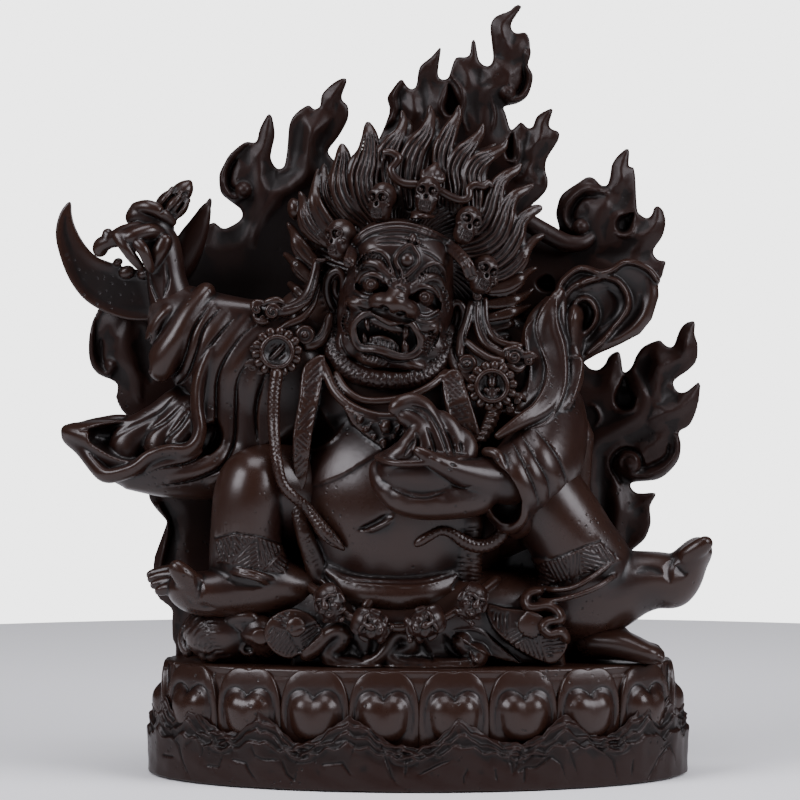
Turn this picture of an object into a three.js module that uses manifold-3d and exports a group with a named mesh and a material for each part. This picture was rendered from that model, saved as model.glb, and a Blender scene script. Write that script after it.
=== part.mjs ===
// Mahakala: a small cast resin statue of the wrathful protector in a heavy cloak, treading on a lying body,
// with flaying knife, skull cup and a halo of flames, on a lotus over rocks. One casting. Millimetres, +Z up,
// front faces -Y, origin at the centre of the underside.

import * as THREE from 'three';
import { mergeVertices } from 'three/addons/utils/BufferGeometryUtils.js';
import Module from 'manifold-3d';

// Rock base
const BASE_HALF_WIDTH = 68.4;
const BASE_HALF_DEPTH = 38.6;
const ROCK_LEAN = 2.4;
const ROCK_VALLEY_HEIGHT = 10.5;
const ROCK_PEAK_HEIGHT = 18;
const ROCK_COUNT = 18;
const ROCK_SPUR = 1.6;

// Lotus
const LOTUS_TOP = 28.5;
const LOTUS_HALF_WIDTH = 65.2;
const LOTUS_HALF_DEPTH = 34.2;
const LOTUS_WAIST_INSET = 3.2;
const PETAL_COUNT = 18;
const PETAL_HEIGHT = 17;
const PETAL_SWELL = 3.4;
const PETAL_BOSS_SWELL = 1.5;
const DOME_TURN = 0.21;

// The figure is laid out on a front drawing: X to the right and Z up from the underside, in millimetres at the
// plane y = 0, as one eye sees it. A point nearer or farther than that plane moves from or to the sight axis.
const FIGURE_HEIGHT = 163.5;
const DRAWN_FIGURE_HEIGHT = 163.5;
const DRAWN_SEAT = 28.5;
const EYE_X = -4.5;
const EYE_Z = 92.75;
const EYE_DISTANCE = 650;

// Halo of flames
const HALO_BACK = 13.5;
const HALO_THICKNESS = 6;
const FLAME_HALF_DEPTH = 3.2;
const FLAME_TIP_LEAN = 0.05;

// Cloth, straps and relief
const FOLD_HALF_DEPTH = 1.4;
const BLADE_THICKNESS = 2.6;
const STRAND_RADIUS = 1.35;

const RESIN_COLOUR = 0x2b1d1a;

// Faces left after the joins are eased, and how far an edge may be drawn for it
const FACE_COUNT = 9800;
const EDGE_COST = 0.02;
const LARGEST_COST = 1.2;
const TURN_LIMIT = 0.2;
const UP = new THREE.Vector3(0, 0, 1);

const wasm = await Module();
wasm.setup();

// Solids and their drawing-to-space mapping

function solidOf(geometry) {
  const bare = geometry.clone();
  for (const name of Object.keys(bare.attributes)) if (name !== 'position') bare.deleteAttribute(name);
  const merged = mergeVertices(bare, 1e-4);
  const vertProperties = new Float32Array(merged.attributes.position.array);
  const triVerts = new Uint32Array(merged.index.array);
  if (signedVolume(vertProperties, triVerts) < 0) {
    for (let i = 0; i < triVerts.length; i += 3) [triVerts[i], triVerts[i + 1]] = [triVerts[i + 1], triVerts[i]];
  }
  return new wasm.Manifold(new wasm.Mesh({ numProp: 3, vertProperties, triVerts }));
}

function signedVolume(points, triangles) {
  const [a, b, c] = [new THREE.Vector3(), new THREE.Vector3(), new THREE.Vector3()];
  let volume = 0;
  for (let i = 0; i < triangles.length; i += 3) {
    a.fromArray(points, 3 * triangles[i]);
    b.fromArray(points, 3 * triangles[i + 1]);
    c.fromArray(points, 3 * triangles[i + 2]);
    volume += a.dot(b.cross(c)) / 6;
  }
  return volume;
}

function raised(geometry) {
  const scale = FIGURE_HEIGHT / DRAWN_FIGURE_HEIGHT;
  const position = geometry.attributes.position;
  for (let i = 0; i < position.count; i += 1) {
    const spread = 1 + position.getY(i) / EYE_DISTANCE;
    const x = EYE_X + (position.getX(i) - EYE_X) * spread;
    const z = EYE_Z + (position.getZ(i) - EYE_Z) * spread;
    position.setXYZ(i, x * scale, position.getY(i) * scale, LOTUS_TOP + (z - DRAWN_SEAT) * scale);
  }
  return solidOf(geometry);
}

function joined(solids) {
  return solids.reduce((whole, piece) => whole.add(piece));
}

// Form makers. A station of a limb is [X, Z, y, half width, half depth].

const ROUND = (sides) => Array.from({ length: sides }, (_, k) => {
  const angle = (2 * Math.PI * k) / sides;
  return [Math.cos(angle), Math.sin(angle)];
});
const FLAME_SECTION = [[-1, 0.2], [-0.78, -1], [0, -0.1], [0.78, -1], [1, 0.2], [0, 1.6]];

function limbGeometry(stations, steps, section) {
  const line = new THREE.CatmullRomCurve3(stations.map(([x, z, y]) => new THREE.Vector3(x, y, z)), false, 'centripetal');
  const girth = new THREE.CatmullRomCurve3(stations.map(([, , , w, d]) => new THREE.Vector3(w, d, 0)), false,
    'catmullrom', 0.3);
  const depthAxis = new THREE.Vector3(0, 1, 0);
  const points = [];
  for (let i = 0; i <= steps; i += 1) {
    const t = i / steps;
    const centre = line.getPoint(t);
    const tangent = line.getTangent(t);
    const across = tangent.clone().cross(depthAxis).normalize();
    const depth = across.clone().cross(tangent).normalize();
    const size = girth.getPoint(t);
    for (const [a, d] of section) {
      const point = centre.clone().addScaledVector(across, a * Math.max(size.x, 0.3));
      points.push(point.addScaledVector(depth, -d * Math.max(size.y, 0.3)));
    }
  }
  const sides = section.length;
  const ends = [line.getPoint(0), line.getPoint(1)];
  points.push(...ends);
  const faces = [];
  for (let i = 0; i < steps; i += 1) {
    for (let k = 0; k < sides; k += 1) {
      const next = (k + 1) % sides;
      const [a, b, c, d] = [i * sides + k, i * sides + next, (i + 1) * sides + next, (i + 1) * sides + k];
      faces.push(a, b, c, a, c, d);
    }
  }
  for (let k = 0; k < sides; k += 1) {
    const next = (k + 1) % sides;
    faces.push(points.length - 2, next, k);
    faces.push(points.length - 1, steps * sides + k, steps * sides + next);
  }
  const geometry = new THREE.BufferGeometry();
  geometry.setAttribute('position', new THREE.Float32BufferAttribute(points.flatMap((p) => p.toArray()), 3));
  geometry.setIndex(faces);
  return geometry;
}

function limb(stations, steps = 5, sides = 6) {
  return raised(limbGeometry(stations, steps, ROUND(sides)));
}

function strand(points, radius, steps = 5, sides = 4) {
  return limb(points.map(([x, z, y, share = 1]) => [x, z, y, radius * share, radius * share]), steps, sides);
}

function flame(stations, steps = stations.length * 2 - 1) {
  const leaning = stations.map(([x, z, y, w]) => {
    const lean = FLAME_TIP_LEAN * Math.max(0, Math.hypot(x, z - EYE_Z) - 45);
    return [x, z, y - lean, w, Math.min(FLAME_HALF_DEPTH, 0.6 + w * 0.5)];
  });
  return raised(limbGeometry(leaning, steps, FLAME_SECTION));
}

function lump([x, z, y], [rx, rz, ry], tilt = 0, segments = [6, 4]) {
  const geometry = new THREE.SphereGeometry(1, ...segments);
  geometry.rotateX(Math.PI / 2);
  geometry.scale(rx, ry, rz);
  geometry.rotateY(tilt);
  geometry.translate(x, y, z);
  return raised(geometry);
}

function smoothOutline(points, count) {
  const curve = new THREE.CatmullRomCurve3(points.map(([x, z]) => new THREE.Vector3(x, z, 0)), true, 'centripetal');
  return curve.getPoints(count).slice(0, count);
}

function slab(points, back, front, bevel = 1, count = points.length) {
  const outline = count === points.length
    ? points.map(([x, z]) => new THREE.Vector3(x, z, 0)) : smoothOutline(points, count);
  const shape = new THREE.Shape(outline.map((p) => new THREE.Vector2(p.x, p.y)));
  const geometry = new THREE.ExtrudeGeometry(shape, {
    depth: back - front - 2 * bevel,
    bevelEnabled: bevel > 0,
    bevelThickness: bevel,
    bevelSize: bevel,
    bevelOffset: -bevel,
    bevelSegments: 1,
  });
  geometry.rotateX(Math.PI / 2);
  geometry.translate(0, back - bevel, 0);
  return raised(geometry);
}

function ring([x, z, y], radius, tube, segments = 12) {
  const geometry = new THREE.TorusGeometry(radius, tube, 4, segments);
  geometry.rotateX(Math.PI / 2);
  geometry.translate(x, y, z);
  return raised(geometry);
}

// Plinth

function levels(rows) {
  const count = rows[0].length;
  const points = rows.flat();
  const faces = [];
  for (let i = 0; i + 1 < rows.length; i += 1) {
    for (let k = 0; k < count; k += 1) {
      const next = (k + 1) % count;
      const [a, b, c, d] = [i * count + k, i * count + next, (i + 1) * count + next, (i + 1) * count + k];
      faces.push(a, b, c, a, c, d);
    }
  }
  const low = points.length;
  const middle = (row) => row.reduce((sum, p) => sum.add(p), new THREE.Vector3()).divideScalar(count);
  points.push(middle(rows[0]), middle(rows.at(-1)));
  const last = (rows.length - 1) * count;
  for (let k = 0; k < count; k += 1) {
    const next = (k + 1) % count;
    faces.push(low, next, k, low + 1, last + k, last + next);
  }
  const geometry = new THREE.BufferGeometry();
  geometry.setAttribute('position', new THREE.Float32BufferAttribute(points.flatMap((p) => p.toArray()), 3));
  geometry.setIndex(faces);
  return solidOf(geometry);
}

function oval(halfWidth, halfDepth, height, count, inset = () => 0) {
  return Array.from({ length: count }, (_, k) => {
    const angle = (2 * Math.PI * k) / count - Math.PI / 2;
    const cut = inset(k);
    const z = typeof height === 'function' ? height(k) : height;
    return new THREE.Vector3((halfWidth - cut) * Math.cos(angle), (halfDepth - cut) * Math.sin(angle), z);
  });
}

function rocks() {
  const perRock = 4;
  const count = ROCK_COUNT * perRock;
  const peakShare = [0, 0.6, 1, 0.35];
  const wander = (k) => 0.72 + 0.28 * Math.sin(2.7 * Math.floor(k / perRock) + 0.8);
  const crest = (k) => ROCK_VALLEY_HEIGHT
    + (ROCK_PEAK_HEIGHT - ROCK_VALLEY_HEIGHT) * peakShare[k % perRock] * wander(k);
  const spur = (k) => ROCK_SPUR * (k % 2);
  const foot = oval(BASE_HALF_WIDTH, BASE_HALF_DEPTH, 0, count);
  const shoulder = oval(BASE_HALF_WIDTH, BASE_HALF_DEPTH, ROCK_VALLEY_HEIGHT * 0.45, count, spur);
  const rim = oval(BASE_HALF_WIDTH, BASE_HALF_DEPTH, crest, count, (k) => ROCK_LEAN - 1.2 * (1 - peakShare[k % perRock]));
  const floor = ROCK_VALLEY_HEIGHT - 1;
  const inner = oval(BASE_HALF_WIDTH, BASE_HALF_DEPTH, floor, count, () => ROCK_LEAN + 2.2);
  return levels([foot, shoulder, rim, inner]);
}

// Places round an oval, evenly by length of arc, with a seam at the front centre
function stepsRound(halfWidth, halfDepth, count) {
  const fine = 1440;
  const lengths = [0];
  const place = (angle) => [halfWidth * Math.sin(angle), -halfDepth * Math.cos(angle)];
  for (let i = 1; i <= fine; i += 1) {
    const [x0, y0] = place((2 * Math.PI * (i - 1)) / fine);
    const [x1, y1] = place((2 * Math.PI * i) / fine);
    lengths.push(lengths.at(-1) + Math.hypot(x1 - x0, y1 - y0));
  }
  return Array.from({ length: count }, (_, k) => {
    const wanted = ((k + 0.5) / count) * lengths.at(-1);
    const angle = (2 * Math.PI * lengths.findIndex((s) => s >= wanted)) / fine;
    const [x, y] = place(angle);
    const facing = Math.atan2(halfDepth * Math.sin(angle), halfWidth * Math.cos(angle));
    return { x, y, facing, pitch: lengths.at(-1) / count };
  });
}

// Each petal is an arch that swells out from the body, with two lobes of a raised boss in its middle
function lotus() {
  const inset = LOTUS_WAIST_INSET;
  const body = levels([
    oval(LOTUS_HALF_WIDTH, LOTUS_HALF_DEPTH, ROCK_VALLEY_HEIGHT * 0.5, 36, () => inset + 2),
    oval(LOTUS_HALF_WIDTH, LOTUS_HALF_DEPTH, LOTUS_TOP - 1.6, 36, () => inset - 1.6),
    oval(LOTUS_HALF_WIDTH, LOTUS_HALF_DEPTH, LOTUS_TOP, 36, () => inset - 1),
  ]);
  const places = stepsRound(LOTUS_HALF_WIDTH - inset, LOTUS_HALF_DEPTH - inset, PETAL_COUNT);
  const halfPitch = places[0].pitch / 2;
  const centre = LOTUS_TOP - 0.8 - PETAL_HEIGHT / 2;
  const dome = (halfWidth, halfHeight, swell, aside, height, outset, sides) => ({ x, y, facing }) => {
    const geometry = new THREE.SphereGeometry(1, sides, 5).rotateY(DOME_TURN);
    geometry.scale(halfWidth, swell, halfHeight);
    geometry.translate(aside, -outset, height);
    geometry.rotateZ(facing);
    geometry.translate(x, y, 0);
    return solidOf(geometry);
  };
  const arches = places.map(dome(halfPitch * 1.02, PETAL_HEIGHT / 2, PETAL_SWELL, 0, centre, 0, 8));
  const lobes = [-1, 1].flatMap((side) => places.map(dome(halfPitch * 0.36, PETAL_HEIGHT * 0.3, PETAL_BOSS_SWELL,
    side * halfPitch * 0.26, centre - 0.6, PETAL_SWELL - 0.5, 6)));
  return joined([body, ...arches, ...lobes]);
}

// Halo of flames

const HALO_FRONT = HALO_BACK - HALO_THICKNESS;
const HALO_OUTLINE = [
  [-62, 24], [-64, 45], [-65, 53], [-61, 62], [-63, 72], [-70, 84], [-75, 98], [-74, 116], [-60, 128], [-48, 142],
  [-41, 154], [-34, 158], [-24, 162], [-10, 164], [4, 172], [16, 176], [25, 168], [31, 150], [44, 138], [55, 130],
  [58, 112], [48, 98], [58, 96], [66, 84], [58, 72], [54, 60], [51, 52], [44, 38], [40, 24],
];
const FLAMES = [
  [[-52, 120, 9, 9], [-57, 130, 8, 7], [-56.5, 137, 7, 4], [-52.3, 143, 6, 0.8]],
  [[-42, 128, 9, 10], [-44.5, 143, 7, 8], [-42.5, 152, 6, 5.6], [-39, 159, 6, 3], [-37, 164.5, 5, 0.8]],
  [[-26, 143, 9, 8], [-26, 157, 7, 6.8], [-24.3, 164.5, 6, 5.8], [-21.4, 168.5, 5.5, 3], [-18.6, 173.4, 5, 0.8]],
  [[-2, 156, 9, 5], [-5, 166, 7, 3.6], [-4.7, 170, 6, 2.4], [-4.2, 173.2, 6, 0.7]],
  [[3, 158, 9, 6], [2.5, 169, 7, 4], [3, 175.5, 6, 2.6], [5.8, 181.6, 5, 0.7]],
  [[11, 158, 9, 7], [12, 171, 7, 5.6], [12.8, 178, 6, 3.2], [14.2, 183.2, 5, 0.7]],
  [[19, 156, 9, 8], [21, 169, 7, 7.6], [23.4, 176, 6, 6], [23.2, 183, 6, 4.9], [20.8, 187.6, 5, 3], [25.6, 192.2, 4, 0.8]],
  [[26, 150, 9, 4], [25.6, 157, 8, 3], [25.7, 162.4, 7, 0.7]],
  [[27, 138, 9, 6], [30, 150, 8, 5], [31.4, 157, 7, 4.6], [31.8, 160.5, 6, 3.6], [33.2, 165.6, 6, 0.7]],
  [[44, 126, 9, 11], [49, 139, 7, 8.6], [51.6, 148, 6, 4.2], [52.4, 155.6, 5, 0.8]],
  [[50, 132, 8, 6], [43.5, 143.5, 6, 5], [38.2, 142.5, 4, 3.6], [38.4, 136.5, 2, 2.6]],
  [[54, 124, 8, 8], [59.6, 134, 6, 5], [61, 138, 6, 2.7], [60.3, 141.4, 5, 0.8]],
  [[56, 118, 8, 5], [59, 124, 7, 3.4], [62, 127.7, 6, 0.8]],
  [[44, 88, 10, 7], [48.4, 98, 8, 3.8], [50.2, 105.2, 7, 0.8]],
  [[46, 66, 10, 11], [53, 84, 8, 12], [59.6, 96, 6, 9.4], [62.6, 104, 5, 7.6], [66, 108.4, 5, 4.2], [69.3, 113, 4, 0.8]],
  [[56, 82, 9, 9], [66, 90, 7, 6.2], [69.5, 94, 6, 2.8], [70.5, 97.6, 5, 0.8]],
  [[50, 86, 8, 8], [59, 80, 6, 7], [62.5, 76, 4, 4], [56.5, 73.5, 3, 2.6]],
  [[46, 62, 10, 9], [53, 62, 8, 6.4], [56.4, 66, 7, 3], [59.6, 69.6, 6, 0.8]],
  [[-58, 84, 9, 10], [-69, 95, 7, 8], [-77, 103, 5, 6], [-80.4, 109, 4, 3.6], [-79, 115.6, 4, 1.2]],
  [[-50, 100, 8, 8], [-62, 108, 6, 9], [-66, 118, 4, 6], [-64, 126, 3, 1]],
];

function halo() {
  const back = slab(HALO_OUTLINE, HALO_BACK, HALO_FRONT, 1.4, HALO_OUTLINE.length * 2);
  const scroll = strand([[27, 137.6, 0], [34, 134.8, -1], [41.5, 130.8, 2]], 2.4, 3, 5);
  const leftCurl = lump([-43.5, 147, 3], [2.6, 2.6, 3]);
  return joined([back, ...FLAMES.map((stations) => flame(stations)), scroll, leftCurl]);
}

// Torso, legs and what lies under them

const BELLY_CENTRE = [-4.5, 66, -5];
const BELLY_SIZE = [29, 28, 22];

function torso() {
  const belly = lump(BELLY_CENTRE, BELLY_SIZE, 0, [16, 12]);
  const chest = lump([-6, 92, -2], [29, 19, 17], 0, [12, 8]);
  const back = slab([[-34, 26], [-40, 60], [-46, 84], [-42, 106], [-20, 118], [16, 116], [34, 104], [42, 84],
    [36, 58], [34, 26]], HALO_BACK, -4, 2, 10);
  const navel = strand([[-15.5, 61, -25], [-10, 60, -27], [-6.5, 63.5, -27]], 1, 4, 4);
  const belt = strand([[-24, 49, -19], [-10, 46.4, -24], [8, 47, -23], [20, 52, -18]], 1.8, 6, 4);
  const lapels = [
    limb([[-22, 104, -17, 3.4, 1.6], [-28, 88, -19, 4, 1.6], [-29, 72, -18, 3.2, 1.6], [-26, 58, -17, 2, 1.2]], 4, 4),
    limb([[8, 98, -19, 3, 1.6], [13, 88, -20, 3.6, 1.6], [14, 80, -20, 3.6, 1.4]], 3, 4),
  ];
  const collar = strand([[-23, 101, -17], [-18, 95, -21], [-9, 92.4, -22.5], [1, 94, -22], [8, 99, -19]], 1.5, 4, 3);
  const pendant = slab([[-18, 91], [-3, 91], [-6, 84], [-9, 82], [-13, 85]], -16, -24, 0.8, 5);
  return joined([belly, chest, back, navel, belt, ...lapels, collar, pendant]);
}

function seat() {
  const robe = limb([[-40, 38, -6, 10, 12], [-20, 38, -12, 13, 12], [0, 38, -14, 13, 12], [22, 38, -12, 13, 12],
    [42, 38, -4, 11, 10]], 5, 6);
  const waves = [-20, -4, 12, 28].map((x, i) => limb([
    [x - 6, 36, -20, 2, 2], [x - 3, 28.5, -24, 4, 1.8], [x + 2, 27.4, -25, 4, 1.8], [x + 6, 36 - (i % 2) * 2, -21, 2, 2],
  ], 3, 4));
  const aprons = [
    slab([[-34, 38], [-30, 42], [-25, 36], [-24, 31], [-30, 27.6], [-37, 30], [-39, 35]], -17, -25.5, 0.8, 7),
    slab([[17, 41], [27, 41], [36, 36.5], [37.4, 31], [34, 27.6], [24, 29], [19, 34]], -17, -25.5, 0.8, 7),
  ];
  const discs = [[-30.6, 36, -25.6], [26.3, 37.2, -25.6]].map((place) => lump(place, [2.6, 2.6, 1.4], 0, [6, 3]));
  return joined([robe, ...waves, ...aprons, ...discs]);
}

function legs() {
  const leftThigh = limb([[-14, 62, -6, 15, 13], [-30, 70, -14, 12, 12], [-41, 71, -17, 8.6, 9]], 3, 7);
  const leftShin = limb([[-41.5, 72, -17, 7.6, 8], [-42.5, 66, -17, 7.8, 8.4], [-43, 56, -16, 8, 8.4],
    [-41.5, 48.6, -15, 9.6, 9.4]], 5, 9);
  const leftHem = strand([[-50.6, 49.6, -14], [-47, 51.4, -23], [-38, 50.4, -25], [-31, 47, -17]], 1.7, 6, 4);
  const leftFoot = limb([[-30, 45.5, -15, 5, 6], [-38, 46, -17, 6.4, 7], [-48, 44.6, -18, 5.4, 6.6],
    [-56, 44, -18.6, 4.6, 6.6], [-61, 45.6, -19, 3.4, 6]], 6, 8);
  const leftToes = [[-58, 47.4, -13], [-59, 45.6, -16.5], [-59.6, 44, -20], [-58, 42.6, -23]].map(([x, z, y], i) => limb([
    [x, z, y, 1.9, 1.9], [x - 4, z + 0.6, y - 0.5, 1.7, 1.7], [x - 7 + i, z + 1.2, y - 1, 0.7, 0.7]], 2, 5));
  const bigToe = limb([[-55, 45, -24, 3, 2.6], [-59.6, 47.6, -25, 3, 2.4], [-60.6, 50.4, -25, 1.6, 1.2]], 2, 5);
  const rightThigh = limb([[6, 62, -6, 15, 13], [22, 68, -13, 12, 12], [34, 69, -15, 9.6, 10]], 3, 7);
  const rightShin = limb([[33, 70, -15, 9.6, 10], [38, 62, -15, 9.6, 10], [41, 56, -14, 9.8, 10],
    [45, 48, -13, 11, 10.4]], 5, 9);
  const rightHem = strand([[29.6, 45.2, -18], [37, 43.2, -25], [46, 46.4, -24], [53.4, 53, -14]], 1.7, 6, 4);
  const rightCalf = limb([[42, 44, -12, 9, 8.6], [52, 45, -12, 8, 8], [60, 47.6, -12, 6, 6.4], [65, 48.6, -12, 5, 5]], 5, 8);
  const rightFoot = limb([[63.6, 46.8, -12, 5, 5], [65.4, 51.6, -12, 4.4, 5], [68, 54.2, -12, 3.6, 5.4],
    [70.8, 56.6, -12, 2.6, 5], [72, 57.6, -12, 1.2, 3]], 5, 7);
  return joined([leftThigh, leftShin, leftHem, leftFoot, ...leftToes, bigToe, rightThigh, rightShin, rightHem, rightCalf, rightFoot]);
}

// The body that is trodden on: head under one foot, feet under the other
function trodden() {
  const head = lump([-49.5, 34.5, -12], [9.6, 7.2, 8.6], 0.1, [9, 6]);
  const nose = limb([[-50, 35.6, -19, 1.4, 1.2], [-53, 34, -21, 1.6, 1.4], [-55, 32.4, -19.6, 1.4, 1.2]], 2, 4);
  const hair = limb([[-42, 40, -6, 4, 5], [-48, 42, -6, 4, 6], [-57, 40, -6, 3.6, 5], [-60, 35, -5, 3, 4]], 3, 5);
  const shin = limb([[34, 33, -6, 6, 6], [45, 34, -9, 4.6, 4.6], [50, 32, -11, 3.6, 3.8]], 2, 5);
  const foot = limb([[42, 32.4, -12, 3.4, 4], [51, 31.2, -14, 3, 4.2], [57, 29.6, -15, 2, 4.2], [60.5, 29.2, -15.4, 1.2, 3]], 3, 5);
  return joined([head, nose, hair, shin, foot]);
}

// Cloak and sleeves

function leftSleeve() {
  const arm = limb([[-30, 102, -2, 14, 12], [-44, 102, -5, 14, 12], [-54, 108, -6, 11, 10], [-60, 114, -6, 7, 7]], 3, 6);
  const fall = slab([[-34, 112], [-46, 116], [-56, 118], [-60, 112], [-56, 100], [-55, 90], [-57, 84], [-68, 79],
    [-76, 75], [-73, 70.6], [-64, 69.4], [-50, 70], [-42, 76], [-34, 84], [-30, 98]], 4, -16, 2, 26);
  const bell = limb([[-50, 76, -7, 7, 9], [-62, 77, -8, 7.4, 9], [-74, 80, -8, 7.6, 8], [-82, 83.5, -8, 4, 5],
    [-88.2, 85, -8, 0.8, 1]], 8, 9);
  const mouth = limb([[-56, 90, -10, 3.4, 9], [-62, 84.5, -12, 4.4, 9], [-72, 82, -13, 5, 8], [-80, 83.5, -13, 2.4, 5]], 5, 8);
  const folds = [
    [[-54, 116, -12], [-53.5, 104, -16], [-53.4, 90, -17], [-57, 81.5, -17], [-70, 77, -15], [-80, 80, -10, 0.6]],
    [[-50, 118, -12], [-48.6, 104, -17], [-47.6, 88, -18], [-52, 77, -17], [-64, 73.4, -15], [-74, 73, -9, 0.6]],
    [[-45, 118, -12], [-43.4, 104, -17], [-42.6, 88, -18], [-46, 76, -16], [-56, 70.6, -12, 0.6]],
    [[-40, 116, -12], [-38, 104, -16], [-37.4, 90, -17], [-39, 80, -14, 0.6]],
  ].map((points) => strand(points, FOLD_HALF_DEPTH, 7, 4));
  return joined([arm, fall, bell]).subtract(mouth).add(joined(folds));
}

function rightSleeve() {
  const flare = slab([[35, 119], [36, 123], [39.5, 125.4], [46.5, 124.6], [51.4, 127], [57.8, 126], [60.4, 122],
    [58.4, 112], [53, 107.4], [44, 103], [41, 97], [38, 91], [34, 93], [33, 106]], 8, -11, 1.6, 28);
  const bowls = [
    lump([50, 117, -12], [8.4, 6.6, 9], -0.5, [12, 8]),
    lump([42, 112, -12], [4.2, 7, 7], 0.35, [10, 6]),
  ];
  const lip = lump([42, 114.6, -6], [3.4, 4.4, 4], -0.2, [6, 3]);
  const arm = limb([[28, 98, -2, 12, 11], [38, 88, -7, 11, 11], [39, 80, -13, 9.6, 11], [30, 74, -20, 9.6, 9],
    [20, 72, -25, 8, 7]], 8, 9);
  const cuff = limb([[19.6, 79, -27, 2, 2], [22.6, 72, -31, 2.2, 2.2], [24.6, 63.6, -28, 2, 2], [24.4, 60.6, -24, 1.4, 1.6]], 2, 4);
  const hang = limb([[24, 66, -22, 4, 5], [25.4, 62, -21, 3, 4], [24.6, 59.4, -20, 1, 1.6]], 2, 5);
  const folds = [
    [[36, 116, -10], [36.6, 106, -12], [35.6, 96, -13], [28, 86, -18, 0.8]],
    [[40, 106, -11], [39.6, 97, -13], [34, 88, -18], [27, 82, -24, 0.8]],
    [[43, 101, -10], [43.4, 92, -13], [38, 83, -21], [30, 77, -27, 0.8]],
    [[33, 125, -6], [31, 112, -9], [32, 100, -12], [27, 92, -15, 0.8]],
    [[45, 92, -10], [45.6, 83, -15], [40, 76, -22], [32, 70, -26, 0.8]],
  ].map((points) => strand(points, FOLD_HALF_DEPTH, 7, 4));
  const carved = flare.subtract(bowls[0]).subtract(bowls[1]);
  return joined([carved, lip, arm, cuff, hang, ...folds]);
}

// Raised hand with the flaying knife

function knife() {
  const outer = new THREE.EllipseCurve(-63.5, 137, 28, 24, Math.PI * 0.985, Math.PI * 1.5, false);
  const inner = new THREE.EllipseCurve(-60, 142.5, 27, 18, Math.PI * 1.46, Math.PI, true);
  const edge = outer.getPoints(8).map((p) => [p.x, p.y]);
  const spine = inner.getPoints(6).map((p) => [p.x, p.y]);
  const blade = slab([...edge, [-63.5, 114], [-67, 123], ...spine.slice(1, -1)], -1.5, -1.5 - BLADE_THICKNESS, 0.5,
    edge.length + spine.length);
  const handle = strand([[-79, 133, -6], [-70, 138, -6], [-60, 144.5, -5]], 2.2, 2, 5);
  const pommel = [
    lump([-58.4, 146, -5], [3.4, 3, 3], 0.5),
    ...[[-60.6, 148], [-56.2, 148], [-55.4, 144.4]].map(([x, z]) => lump([x, z, -5.4], [1.8, 1.8, 1.8], 0, [5, 3])),
  ];
  return joined([blade, handle, ...pommel]);
}

function raisedHand() {
  const wrist = limb([[-59, 113, -6, 6.4, 6], [-62, 120, -6, 4.4, 4.6], [-64, 127, -6, 4, 4], [-66, 132, -6, 4.4, 4]], 3, 5);
  const palm = lump([-68, 134, -6.4], [6.4, 4.6, 4.6], -0.5);
  const fingers = [[-76, 131.4], [-73.4, 134.4], [-70.6, 137.2], [-68, 139.6]].map(([x, z]) => strand([
    [x + 6, z - 2.6, -8], [x + 2.4, z + 1.6, -10.6], [x - 2, z + 1, -10.4], [x - 3.4, z - 1.6, -8.4]], 1.7, 4, 5));
  const thumb = strand([[-65, 128.6, -9], [-70, 127, -11], [-74, 128.6, -10.6, 0.8]], 1.8, 2, 4);
  return joined([wrist, palm, ...fingers, thumb]);
}

// Left hand with the skull cup before the belly

function cupHand() {
  const wrist = limb([[22, 73, -25, 6, 5.6], [15, 74, -28, 5, 4.6], [8, 73, -29, 5, 4]], 2, 6);
  const cup = lump([-1.4, 75, -28.4], [9.6, 6, 7], -0.1, [12, 7]);
  const hollow = lump([-1.4, 79.4, -30], [7.6, 4.4, 5.4], -0.1, [10, 6]);
  const fingers = [[72.4, -34.6], [69.6, -34], [67.4, -32]].map(([z, y], i) => strand([
    [12, z + 1, y + 2], [4, z - 0.4, y - 0.6], [-4, z - 0.6, y + 0.6], [-9 + i, z + 2, y + 3.4, 0.7]], 1.9, 4, 5));
  const thumb = strand([[14, 74.4, -32], [9, 77.6, -34.6], [3.4, 79.6, -34.2], [0, 79.8, -32.6, 0.7]], 2, 4, 6);
  const contents = limb([[2, 78, -28, 4.6, 4], [5, 84, -27, 4, 3.6], [1, 90, -26, 4, 3.2], [-4, 91.6, -25.6, 3, 2.6],
    [-6.6, 87, -26.6, 1.6, 1.6]], 6, 6);
  return joined([cup.subtract(hollow), wrist, ...fingers, thumb, contents]);
}

// Head, crown and hair

const HEAD_CENTRE = [-5.4, 113.4, -9];
const HEAD_TILT = 0.24;

// A place on the face: right and up in the head's own tilted axes, from its centre
function onFace(right, up, y) {
  const [x, z] = HEAD_CENTRE;
  const [c, s] = [Math.cos(HEAD_TILT), Math.sin(HEAD_TILT)];
  return [x + right * c + up * s, z - right * s + up * c, y];
}

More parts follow.
